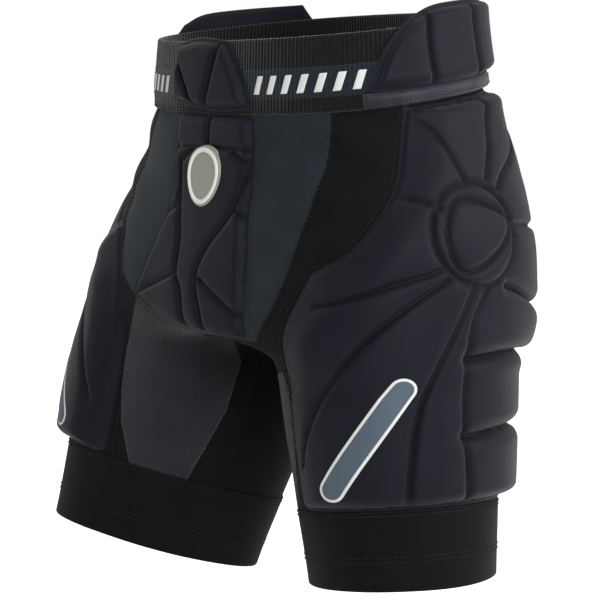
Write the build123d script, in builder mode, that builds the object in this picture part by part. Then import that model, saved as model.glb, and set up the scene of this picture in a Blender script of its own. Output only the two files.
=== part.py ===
from build123d import *
import math
import os

# Padded impact shorts, shown as worn in a walking stance, right leg forward.
# Millimetres. +Z is up, the wearer faces -Y and the wearer's left is +X.
# The origin is the centre of the waist opening, level with the waistband's top.
#
# Every panel and pad is a patch of the worn form: a strip between two offsets of a hip or
# leg cross-section, lofted through the levels where its edges are given.

# ---- driving dimensions ------------------------------------------------------------------
FABRIC = 1.5                 # base knit with its lining
GAP = 0.3                    # clearance between neighbouring panels
LOOSE = 0.7                  # clearance between layers that lie on each other
STEP = 6.0                   # a panel's edge turns by no more than this between sections
PAD = 12.0                   # moulded foam on hips, thighs and seat
THIN_PAD = 7.0               # moulded foam of the groin panel
FLAP_PAD = 8.0               # moulded foam of the fold-over flaps
COVER = 1.0                  # cover fabric over the foam
FILM = 0.4                   # printed rubber and badge
BAND_INNER = -1.0            # waistband faces, measured outward from the base surface
BAND_OUTER = 2.5
BAND_TOP = -6.0              # waistband edges on the centre line
BAND_BOTTOM = -62.0
BAND_SLOPE = 0.12            # the band rises towards the back
ROUNDNESS = 2.3              # exponent of the waist and hip sections
CROTCH = -250.0
LEG_START = -196.0           # leg patches begin at this height, hip patches of the side end
CUFF_START = 0.76            # share of the leg's length where the elastic cuff begins
GRIPPER = 24.0               # height of the silicone band inside the hem
TURN = 30.0                  # the thigh's long axis is turned outward by this angle

# height: half width, front depth, back depth of the waist and hips
HIP_LEVELS = {
    20: (140, 102, 106), 0: (141, 103, 107), -65: (151, 104, 116), -120: (168, 108, 128),
    -180: (182, 118, 136), -215: (184, 125, 137), CROTCH: (180, 126, 133),
}


class Leg:
    """One leg tube: where its axis starts, where it points and its three sections."""

    def __init__(self, name, side, splay, flex, length, thigh, middle, hem):
        self.name = name
        self.side = side
        self.length = length
        self.sizes = {-40: thigh, 0: thigh, 0.4 * length: middle, length: hem}
        self.hip = Vector(side * 92, -2, -190)
        self.down = Vector(
            side * math.tan(math.radians(splay)), -math.tan(math.radians(flex)), -1
        ).normalized()
        out = Vector(side, 0, 0)
        self.out = (out - self.down * out.dot(self.down)).normalized()
        self.forward = self.down.cross(self.out) * side

    def point(self, angle, down, grow):
        """Point of the tube: `angle` from outward towards the front, `down` the leg."""
        minor, major = between(self.sizes, down)
        from_long_axis = math.radians(angle - 90 + TURN)
        radius = 1 / math.hypot(
            math.cos(from_long_axis) / (major + grow), math.sin(from_long_axis) / (minor + grow)
        )
        turn = math.radians(angle)
        spoke = self.out * math.cos(turn) + self.forward * math.sin(turn)
        return self.hip + self.down * down + spoke * radius

    def point_at_height(self, angle, z, grow):
        """Point of the tube where it passes the height z."""
        down = 0
        for _ in range(6):
            down += (self.point(angle, down, grow).Z - z) / -self.down.Z
        return self.point(angle, down, grow)


LEFT = Leg("left", 1, 12.5, 6, 246, (90, 102), (84, 97), (71, 78))
RIGHT = Leg("right", -1, 2.5, 19, 270, (90, 102), (89, 104), (76, 90))
LEGS = (LEFT, RIGHT)


def between(table, key):
    """Straight-line value between the rows of a table."""
    keys = sorted(table)
    for low, high in zip(keys, keys[1:]):
        if key <= high or high == keys[-1]:
            share = (key - low) / (high - low)
            return [a + (b - a) * share for a, b in zip(table[low], table[high])]


# ---- patches of the hips -----------------------------------------------------------------
def hip_point(turn, height, grow, slope=0.0):
    """Point of the hips; `turn` is -90 in front, 0 at the left side, 90 behind."""
    y = 0
    for _ in range(4):
        half_width, front, back = between(HIP_LEVELS, height + slope * y)
        c, s = math.cos(math.radians(turn)), math.sin(math.radians(turn))
        depth = (front if s < 0 else back) + grow
        y = math.copysign(abs(s) ** (2 / ROUNDNESS), s) * depth
    x = math.copysign(abs(c) ** (2 / ROUNDNESS), c) * (half_width + grow)
    return Vector(x, y, height + slope * y)


def turn_at_x(x, z):
    """Turn of the front point that lies x to the left of the centre."""
    half_width = between(HIP_LEVELS, z)[0]
    return -math.degrees(math.acos(math.copysign((abs(x) / half_width) ** (ROUNDNESS / 2), x)))


def turn_at_y(y, z, side):
    """Turn of the side point that lies y behind the centre."""
    depth = between(HIP_LEVELS, z)[1 if y < 0 else 2]
    turn = math.degrees(math.asin(math.copysign((abs(y) / depth) ** (ROUNDNESS / 2), y)))
    return turn if side > 0 else 180 - turn


def strip(plane, outer, inner):
    """Face between two curves that lie in one plane."""
    outer = [plane.to_local_coords(point) for point in outer]
    inner = [plane.to_local_coords(point) for point in inner]
    with BuildSketch(plane) as face:
        with BuildLine():
            Spline(*outer)
            Spline(*inner)
            Line(outer[0], inner[0])
            Line(outer[-1], inner[-1])
        make_face()
    return face.sketch.face()


def with_knots(edges, knots):
    """The edges with rows added where the form changes slope and where an edge turns fast."""
    rows = dict(edges)
    for knot in knots:
        if min(edges) < knot < max(edges):
            rows[knot] = between(edges, knot)
    levels = sorted(rows)
    for low, high in zip(levels, levels[1:]):
        turned = max(abs(a - b) for a, b in zip(rows[low], rows[high]))
        parts = math.ceil(turned / STEP)
        for i in range(1, parts):
            level = low + (high - low) * i / parts
            rows[level] = between({low: rows[low], high: rows[high]}, level)
    return [(level, *rows[level]) for level in sorted(rows)]


def hip_patch(edges, inner, outer, slope=0.0, count=15):
    """Solid over {height: (first turn, last turn)} between two offsets of the hips."""
    sections = []
    for height, first, last in with_knots(edges, HIP_LEVELS):
        turns = [first + (last - first) * i / (count - 1) for i in range(count)]
        sections.append(strip(
            Plane(origin=(0, 0, height), z_dir=(0, -slope, 1)),
            [hip_point(turn, height, outer, slope) for turn in turns],
            [hip_point(turn, height, inner, slope) for turn in turns],
        ))
    with BuildPart() as patch:
        loft(sections, ruled=True)
    return patch.part


def front_patch(edges, inner, outer):
    """Hip patch whose edges are given as {height: (right x, left x)} seen from the front."""
    turns = {z: (turn_at_x(a, z), turn_at_x(b, z)) for z, (a, b) in edges.items()}
    return hip_patch(turns, inner, outer)


def back_patch(edges, inner, outer):
    """The same, seen from behind."""
    turns = {z: (-turn_at_x(a, z), -turn_at_x(b, z)) for z, (a, b) in edges.items()}
    return hip_patch(turns, inner, outer)


def side_patch(side, edges, inner, outer, slope=0.0):
    """Hip patch whose edges are given as {height: (front y, rear y)} seen from the side."""
    turns = {z: (turn_at_y(a, z, side), turn_at_y(b, z, side)) for z, (a, b) in edges.items()}
    return hip_patch(turns, inner, outer, slope)


# ---- patches of the legs -----------------------------------------------------------------
def leg_patch(leg, edges, inner, outer, top=None, count=15):
    """Solid over {share of length: (first angle, last angle)}; `top` is a level cut.

    `top` is (height, first angle, last angle) and starts the patch on a horizontal plane.
    """
    rows = {share * leg.length: angles for share, angles in edges.items()}
    sections = []
    if top:
        height, first, last = top
        angles = [first + (last - first) * i / (count - 1) for i in range(count)]
        sections.append(strip(
            Plane.XY.offset(height),
            [leg.point_at_height(angle, height, outer) for angle in angles],
            [leg.point_at_height(angle, height, inner) for angle in angles],
        ))
    for down, first, last in with_knots(rows, leg.sizes):
        angles = [first + (last - first) * i / (count - 1) for i in range(count)]
        sections.append(strip(
            Plane(origin=leg.hip + leg.down * down, x_dir=leg.out, z_dir=leg.down),
            [leg.point(angle, down, outer) for angle in angles],
            [leg.point(angle, down, inner) for angle in angles],
        ))
    with BuildPart() as patch:
        loft(sections, ruled=True)
    return patch.part


def leg_ring(leg, start, end, inner, outer):
    """A closed band round the leg between two distances down it."""
    with BuildPart() as ring:
        for grow, mode in ((outer, Mode.ADD), (inner, Mode.SUBTRACT)):
            for down in (start, end):
                minor, major = between(leg.sizes, down)
                plane = Plane(origin=leg.hip + leg.down * down, x_dir=leg.out, z_dir=leg.down)
                with BuildSketch(plane):
                    Ellipse(major + grow, minor + grow, rotation=leg.side * (90 - TURN))
            loft(ruled=True, mode=mode)
    return ring.part


def save(name, *patches):
    """Write one node, made of one solid or of several separate ones."""
    with BuildPart() as node:
        for patch in patches:
            add(patch)
    node.part.label = name
    export_step(node.part, "parts/" + name + ".step")


os.makedirs("parts", exist_ok=True)
FOAM_IN = LOOSE
FOAM_OUT = FOAM_IN + PAD
THIN_OUT = FOAM_IN + THIN_PAD

# ---- waistband and fold-over flaps -------------------------------------------------------
with BuildPart() as waistband:
    for grow, mode in ((BAND_OUTER, Mode.ADD), (BAND_INNER, Mode.SUBTRACT)):
        for height in (BAND_BOTTOM, 0.5 * (BAND_BOTTOM + BAND_TOP), BAND_TOP):
            turns = [9 * i for i in range(40)]
            plane = Plane(origin=(0, 0, height), z_dir=(0, -BAND_SLOPE, 1))
            points = [hip_point(turn, height, grow, BAND_SLOPE) for turn in turns]
            with BuildSketch(plane):
                with BuildLine():
                    Spline(*[plane.to_local_coords(point) for point in points], periodic=True)
                make_face()
        loft(ruled=True, mode=mode)
waistband.part.label = "waistband"
export_step(waistband.part, "parts/waistband.step")

FLAP_IN = BAND_OUTER + LOOSE
FLAP_FOAM_IN = FLAP_IN + COVER + LOOSE
FLAP_FOAM_OUT = FLAP_FOAM_IN + FLAP_PAD
FLAP_OUT = FLAP_FOAM_OUT + LOOSE
FLAP_SKINS = ((FLAP_IN, FLAP_IN + COVER), (FLAP_OUT, FLAP_OUT + COVER))


def front_flap_patch(edges, inner, outer):
    turns = {h: (turn_at_x(a, h), turn_at_x(b, h)) for h, (a, b) in edges.items()}
    return hip_patch(turns, inner, outer, BAND_SLOPE)


front_flap_edges = {-53: (-35, 54), -7: (-27, 28)}
front_flap_segments = [
    {-49: (-1, 5), -12: (-17, 20)},
    {-49: (10, 47), -19: (24, 28)},
    {-49: (-31, -6), -19: (-27, -22)},
]
save("front_flap_cover", *[front_flap_patch(front_flap_edges, *skin) for skin in FLAP_SKINS])
save("front_flap_foam", *[front_flap_patch(segment, FLAP_FOAM_IN, FLAP_FOAM_OUT)
                          for segment in front_flap_segments])

# front and rear edge at each height above or below the band's own centre line
hip_flap_edges = {-51: (-56, 84), -19: (-43, 84), 1: (-26, 82), 7: (-6, 78)}
hip_flap_segments = [
    {-44: (-48, -22), -19: (-39, -18), 0: (-25, -16)},
    {-44: (-16, 30), 3: (-8, 32)},
    {-44: (36, 78), 3: (39, 74)},
]
for leg in LEGS:
    save(leg.name + "_hip_flap_cover",
         *[side_patch(leg.side, hip_flap_edges, *skin, BAND_SLOPE) for skin in FLAP_SKINS])
    save(leg.name + "_hip_flap_foam",
         *[side_patch(leg.side, segment, FLAP_FOAM_IN, FLAP_FOAM_OUT, BAND_SLOPE)
           for segment in hip_flap_segments])
    save(leg.name + "_flap_binding",
         side_patch(leg.side, {-61: (-60, 86), -52: (-60, 86)}, FLAP_IN, FLAP_IN + COVER,
                    BAND_SLOPE))

# ---- base panels of the hips -------------------------------------------------------------
SIDE_PANEL = {-200: (-70, 84), -176: (-90, 86), -151: (-73, 87), -124: (-58, 87),
              -97: (-47, 86), -72: (-40, 84)}
save("groin_lining", front_patch(
    {-244: (-5, 62), -225: (-72, 66), -192: (-62, 67), -156: (-43, 62), -131: (-35, 61),
     -77: (-36, 56)}, -FABRIC, 0))
save("left_slate_panel", front_patch(
    {-230: (72, 88), -203: (70, 99), -176: (69, 110), -129: (63, 116), -98: (61, 115),
     -77: (58, 110)}, -FABRIC, 0))
save("right_slate_panel", front_patch(
    {-222: (-80, -75), -207: (-104, -72), -183: (-114, -61), -155: (-117, -46),
     -131: (-111, -38), -77: (-78, -38)}, -FABRIC, 0))
for leg in LEGS:
    save(leg.name + "_side_lining", side_patch(leg.side, {
        z: edges for z, edges in SIDE_PANEL.items() if z > LEG_START
    } | {LEG_START + GAP: (-84, 84)}, -FABRIC, 0))


SEAM_SHIFT = 8               # the front panels stop short of the side panel's slanted edge


def front_panel(side, inner_x):
    """Black stretch panel from the slate panel's edge to the pad's front seam."""
    turns = {}
    for z, x in inner_x.items():
        first = turn_at_x(side * x, z)
        last = turn_at_y(between(SIDE_PANEL, z)[0] - SEAM_SHIFT, z, side)
        if side < 0:
            last -= 360
        turns[z] = (first, last)
    return hip_patch(turns, -FABRIC, 0)


save("left_front_panel", front_panel(1, {-190: 106, -176: 111, -129: 117, -98: 116, -77: 111}))
save("right_front_panel", front_panel(-1, {-190: 116, -183: 116, -155: 119, -131: 112, -77: 79}))
save("seat_panel", back_patch(
    {-248: (108, -108), -215: (112, -112), -180: (118, -118), -120: (108, -108),
     -56: (96, -96)}, -FABRIC, 0))

# ---- groin pad ---------------------------------------------------------------------------
groin_segments = [
    {-98: (-31, 7), -80: (-31, 7)},
    {-98: (13, 56), -80: (13, 52)},
    {-240: (10, 24), -214: (1, 16), -200: (-8, 10), -176: (-10, 19), -146: (-16, 43),
     -104: (-19, 52)},
    {-203: (-60, -22), -185: (-55, -19), -160: (-42, -20), -140: (-34, -24), -118: (-33, -27)},
    {-236: (-38, 4), -225: (-66, -4), -214: (-56, -16)},
    {-206: (28, 66), -200: (21, 64), -180: (26, 62), -165: (40, 61), -153: (53, 60)},
    {-242: (36, 60), -232: (32, 62), -222: (28, 50), -212: (22, 32)},
]
save("groin_foam", *[front_patch(segment, FOAM_IN, THIN_OUT) for segment in groin_segments])
save("groin_cover", front_patch(
    {-243: (-5, 60), -225: (-70, 64), -192: (-60, 65), -156: (-41, 60), -131: (-33, 59),
     -78: (-34, 55)}, THIN_OUT + LOOSE, THIN_OUT + LOOSE + COVER))

BADGE_CENTRE = (11, -119)
BADGE_RADII = (17, 21)
badge_levels = [-90, -60, -30, 0, 30, 60, 90]
badge_edges = {}
for turn in badge_levels[1:-1]:
    reach = BADGE_RADII[0] * math.cos(math.radians(turn))
    height = BADGE_CENTRE[1] + BADGE_RADII[1] * math.sin(math.radians(turn))
    badge_edges[height] = (BADGE_CENTRE[0] - reach, BADGE_CENTRE[0] + reach)
BADGE_BACK = THIN_OUT + 2 * LOOSE + COVER
save("centre_badge", front_patch(badge_edges, BADGE_BACK, BADGE_BACK + FILM))

# ---- hip pads ----------------------------------------------------------------------------
hip_segments = [
    {-136: (-50, -30), -126: (-57, -12), -105: (-50, -18), -86: (-44, -27), -75: (-41, -37)},
    {-124: (-5, 14), -105: (-11, 26), -86: (-19, 32), -73: (-27, 34)},
    {-129: (19, 27), -122: (23, 38), -105: (34, 64), -85: (40, 74), -69: (44, 74)},
    {-190: (32, 84), -180: (36, 86), -150: (40, 87), -122: (47, 86), -108: (72, 86)},
    {-190: (-93, -58), -178: (-88, -38), -165: (-81, -39), -152: (-73, -36), -141: (-66, -48)},
]
hub_segment = {-193: (-12, 12), -186: (-24, 24), -163: (-33, 33), -142: (-26, 26),
               -131: (-10, 10)}
for leg in LEGS:
    save(leg.name + "_hip_foam",
         *[side_patch(leg.side, segment, FOAM_IN, FOAM_OUT) for segment in hip_segments])
    save(leg.name + "_hub_pad", side_patch(leg.side, hub_segment, FOAM_IN, FOAM_OUT))
    save(leg.name + "_hip_cover", side_patch(leg.side, {
        LEG_START + GAP: (-82, 84), -176: (-88, 86), -151: (-72, 87), -124: (-57, 87),
        -97: (-46, 86), -72: (-39, 76)}, FOAM_OUT + LOOSE, FOAM_OUT + LOOSE + COVER))

# ---- thigh pads --------------------------------------------------------------------------
SEAM_FRONT = 106             # angle of the pad's front seam, from outward towards the front
SEAM_REAR = -62
thigh_segments = [
    {0.13: (25, 50), 0.18: (36, 82), 0.26: (53, 92), 0.39: (72, 100), 0.50: (88, 103)},
    {0.13: (13, 21), 0.24: (24, 45), 0.38: (37, 66), 0.5: (43, 82), 0.53: (43, 86),
     0.57: (44, 103), 0.745: (46, 104)},
    {0.13: (5, 8), 0.24: (14, 20), 0.38: (16, 32), 0.5: (17, 38), 0.745: (15, 41)},
]
rear_segments = [
    {0.13: (-60, -1), 0.25: (-60, 8)},
    {0.28: (-60, 9), 0.475: (-60, 12)},
    {0.505: (-60, 12), 0.745: (-60, 10)},
]
for leg in LEGS:
    save(leg.name + "_thigh_foam",
         *[leg_patch(leg, segment, FOAM_IN, FOAM_OUT) for segment in thigh_segments])
    save(leg.name + "_rear_thigh_foam",
         *[leg_patch(leg, segment, FOAM_IN, FOAM_OUT) for segment in rear_segments])
    lining_edges = {0.16: (SEAM_REAR, 84), 0.3: (SEAM_REAR, 98),
                    CUFF_START - 0.002: (SEAM_REAR, SEAM_FRONT)}
    top = (LEG_START - GAP, SEAM_REAR, 80)
    save(leg.name + "_thigh_lining", leg_patch(leg, lining_edges, -FABRIC, 0, top=top))
    save(leg.name + "_thigh_cover",
         leg_patch(leg, lining_edges, FOAM_OUT + LOOSE, FOAM_OUT + LOOSE + COVER, top=top))
    film_back = FOAM_OUT + 2 * LOOSE + COVER
    save(leg.name + "_thigh_print", leg_patch(
        leg, {0.35: (27, 31), 0.39: (27, 37), 0.66: (57, 69), 0.70: (64, 68)},
        film_back, film_back + FILM))

# ---- seat and tail pads ------------------------------------------------------------------
seat_segments = [
    {-148: (82, 22), -120: (76, 36)},
    {-190: (92, 14), -154: (88, 16)},
    {-238: (86, 24), -196: (92, 14)},
]
mirrored = [{z: (-a, -b) for z, (a, b) in segment.items()} for segment in seat_segments]
save("left_seat_foam", *[back_patch(segment, FOAM_IN, FOAM_OUT) for segment in seat_segments])
save("right_seat_foam", *[back_patch(segment, FOAM_IN, FOAM_OUT) for segment in mirrored])
save("tailbone_foam", back_patch({-150: (8, -8), -112: (26, -26), -76: (22, -22)},
                                 FOAM_IN, FOAM_OUT))
save("seat_cover", back_patch(
    {-244: (92, -92), -190: (98, -98), -120: (90, -90), -72: (60, -60)},
    FOAM_OUT + LOOSE, FOAM_OUT + LOOSE + COVER))

# ---- inner thigh, cuffs and hems ---------------------------------------------------------
CROTCH_CUT = -254.0
for leg in LEGS:
    cuff = CUFF_START - 0.002
    mesh_first = SEAM_FRONT + 1
    save(leg.name + "_mesh_panel", leg_patch(
        leg, {0.45: (mesh_first, 154), cuff: (mesh_first + 2, 140)}, -FABRIC, 0,
        top=(CROTCH_CUT, mesh_first, 158)))
    save(leg.name + "_inner_panel", leg_patch(
        leg, {0.45: (155, 226), cuff: (141, 226)}, -FABRIC, 0, top=(CROTCH_CUT, 159, 226)))
    save(leg.name + "_rear_thigh_panel", leg_patch(
        leg, {0.45: (227, 297), cuff: (227, 297)}, -FABRIC, 0, top=(CROTCH_CUT, 227, 297)))
    save(leg.name + "_cuff", leg_ring(leg, CUFF_START * leg.length, leg.length, -FABRIC, 0))
    save(leg.name + "_hem_gripper", leg_ring(
        leg, leg.length - GRIPPER, leg.length - 1, -FABRIC - GAP - COVER, -FABRIC - GAP))

GUSSET = (34, 150)
with BuildPart() as crotch_gusset:
    with BuildSketch(Plane.XY.offset(CROTCH - FABRIC)):
        with Locations((6, 0)):
            RectangleRounded(*GUSSET, 12)
    extrude(amount=FABRIC)
crotch_gusset.part.label = "crotch_gusset"
export_step(crotch_gusset.part, "parts/crotch_gusset.step")

LABEL = (46, 30)
with BuildPart() as care_label:
    with BuildSketch(Plane.XZ.offset(-(between(HIP_LEVELS, -30)[2] - 8))):
        with Locations((0, -20)):
            RectangleRounded(*LABEL, 2)
    extrude(amount=FILM)
care_label.part.label = "care_label"
export_step(care_label.part, "parts/care_label.step")
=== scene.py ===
"""Padded impact shorts on an invisible wearer: fabric, moulded pads, stitching and light."""
import logging
import math
from dataclasses import dataclass, field
from enum import Enum
from typing import Callable, Iterable, Optional, Sequence

import bpy
import numpy as np
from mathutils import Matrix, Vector


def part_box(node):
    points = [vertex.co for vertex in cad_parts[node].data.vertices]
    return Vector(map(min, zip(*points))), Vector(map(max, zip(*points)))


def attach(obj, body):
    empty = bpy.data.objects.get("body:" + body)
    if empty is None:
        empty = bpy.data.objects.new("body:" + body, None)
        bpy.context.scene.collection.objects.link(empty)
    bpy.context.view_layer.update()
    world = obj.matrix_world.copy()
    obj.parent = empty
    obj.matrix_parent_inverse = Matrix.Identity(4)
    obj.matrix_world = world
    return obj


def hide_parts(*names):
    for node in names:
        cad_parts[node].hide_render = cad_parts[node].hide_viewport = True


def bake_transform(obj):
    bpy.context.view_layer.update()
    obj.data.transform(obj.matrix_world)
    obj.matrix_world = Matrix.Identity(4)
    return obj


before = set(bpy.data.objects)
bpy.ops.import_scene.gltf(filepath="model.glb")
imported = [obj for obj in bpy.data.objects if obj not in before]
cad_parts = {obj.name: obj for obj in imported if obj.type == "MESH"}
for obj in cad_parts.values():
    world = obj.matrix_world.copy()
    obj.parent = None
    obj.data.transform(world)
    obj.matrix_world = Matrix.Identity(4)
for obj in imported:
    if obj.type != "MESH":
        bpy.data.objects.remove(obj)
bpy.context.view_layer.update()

LOG = logging.getLogger("impact_shorts")
MM = 0.001
RAY_REACH = 240.0  # the longest ray from inside the form, mm
HALVINGS = 20  # halvings of a ray's bracket, which leave it far finer than the cloth
MARCH_STEPS = 90  # strides of a ray from outside
MARCH_SHARE = 0.7  # share of the field's value taken in one stride, for it isn't quite a distance
BAND_RADIUS = 128  # turns degrees round the waist into millimetres of cloth
CUFF_RADIUS = 85  # the same round a hem
Array = np.ndarray
Rays = Callable[[Array, Array], tuple[Array, Array]]


class Side(Enum):
    """Which of the wearer's sides a piece is on, with the sign of its x."""

    LEFT = 1
    RIGHT = -1

    @property
    def word(self) -> str:
        """The side as it stands in a node's name."""
        return self.name.lower()


# ---- the worn form -----------------------------------------------------------------------
def smooth_table(x: Array, rows: Sequence[tuple[float, float]]) -> Array:
    """Smooth curve through the rows of a table, flat beyond its ends.

    Args:
        x: where to read the curve.
        rows: (key, value) pairs in rising order of key.

    Returns:
        The value at each x.
    """
    keys = np.array([row[0] for row in rows], float)
    values = np.array([row[1] for row in rows], float)
    runs = np.diff(keys)
    rises = np.diff(values) / runs
    slopes = np.zeros(len(keys))
    same = rises[:-1] * rises[1:] > 0
    blend = (runs[:-1] + runs[1:]) / (runs[:-1] / np.where(same, rises[:-1], 1)
                                      + runs[1:] / np.where(same, rises[1:], 1))
    slopes[1:-1] = np.where(same, blend, 0)
    x = np.clip(x, keys[0], keys[-1])
    cell = np.clip(np.searchsorted(keys, x) - 1, 0, len(keys) - 2)
    width = keys[cell + 1] - keys[cell]
    t = (x - keys[cell]) / width
    low = (1 + 2 * t) * (1 - t) ** 2 * values[cell] + t * (1 - t) ** 2 * width * slopes[cell]
    high = t**2 * (3 - 2 * t) * values[cell + 1] + t**2 * (t - 1) * width * slopes[cell + 1]
    return low + high


def smooth_least(a: Array, b: Array, reach: float) -> Array:
    """The smaller of two fields, with the crease between them rounded over `reach` mm."""
    share = np.clip(0.5 + 0.5 * (b - a) / reach, 0, 1)
    return b * (1 - share) + a * share - reach * share * (1 - share)


@dataclass(frozen=True)
class LegShape:
    """One leg tube, in millimetres and degrees."""

    side: Side
    splay: float
    flex: float
    length: float
    thigh: tuple[float, float] = (90, 102)
    middle: tuple[float, float] = (84, 97)
    hem: tuple[float, float] = (71, 78)
    turn: float = 30

    @property
    def hip(self) -> Array:
        """Where the leg's axis starts."""
        return np.array([self.side.value * 92.0, -2.0, -190.0])

    @property
    def down(self) -> Array:
        """Direction of the leg's axis, towards the hem."""
        way = np.array([self.side.value * math.tan(math.radians(self.splay)),
                        -math.tan(math.radians(self.flex)), -1.0])
        return way / np.linalg.norm(way)

    @property
    def out(self) -> Array:
        """Direction square to the axis, away from the other leg."""
        way = np.array([self.side.value, 0.0, 0.0])
        way = way - self.down * (way @ self.down)
        return way / np.linalg.norm(way)

    @property
    def forward(self) -> Array:
        """Direction square to the axis, towards the front."""
        return np.cross(self.down, self.out) * self.side.value

    def radii(self, share: Array) -> tuple[Array, Array]:
        """Short and long half widths at a share of the leg's length.

        Args:
            share: share of the leg's length.

        Returns:
            The short and the long half width.
        """
        sizes = []
        for index in (0, 1):
            top = self.thigh[index]
            sizes.append(smooth_table(share, [
                (-0.45, 0.5 * top), (-0.32, 0.72 * top), (-0.14, 0.93 * top), (0, top),
                (0.4, self.middle[index]), (1, self.hem[index]), (1.2, 0.97 * self.hem[index]),
            ]))
        return sizes[0], sizes[1]

    def distance(self, points: Array) -> Array:
        """Signed distance to the tube, about, in millimetres.

        Args:
            points: places, in millimetres.

        Returns:
            The field.
        """
        away = points - self.hip
        share = away @ self.down / self.length
        minor, major = self.radii(share)
        across, ahead = away @ self.out, away @ self.forward
        angle = math.radians(self.turn)
        along = across * math.sin(angle) + ahead * math.cos(angle)
        beside = across * math.cos(angle) - ahead * math.sin(angle)
        tube = (np.hypot(beside / minor, along / major) - 1) * np.minimum(minor, major)
        return np.maximum(tube, -share * self.length - 90)

    def rays(self, angle: Array, down: Array) -> tuple[Array, Array]:
        """Rays square to the axis: angle in degrees from outward to the front.

        Args:
            angle: turn in degrees.
            down: distance down the leg's axis, mm.

        Returns:
            Origins and directions.
        """
        turn = np.radians(angle)[..., None]
        origin = self.hip + self.down * np.asarray(down, float)[..., None]
        return origin, self.out * np.cos(turn) + self.forward * np.sin(turn)


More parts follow.
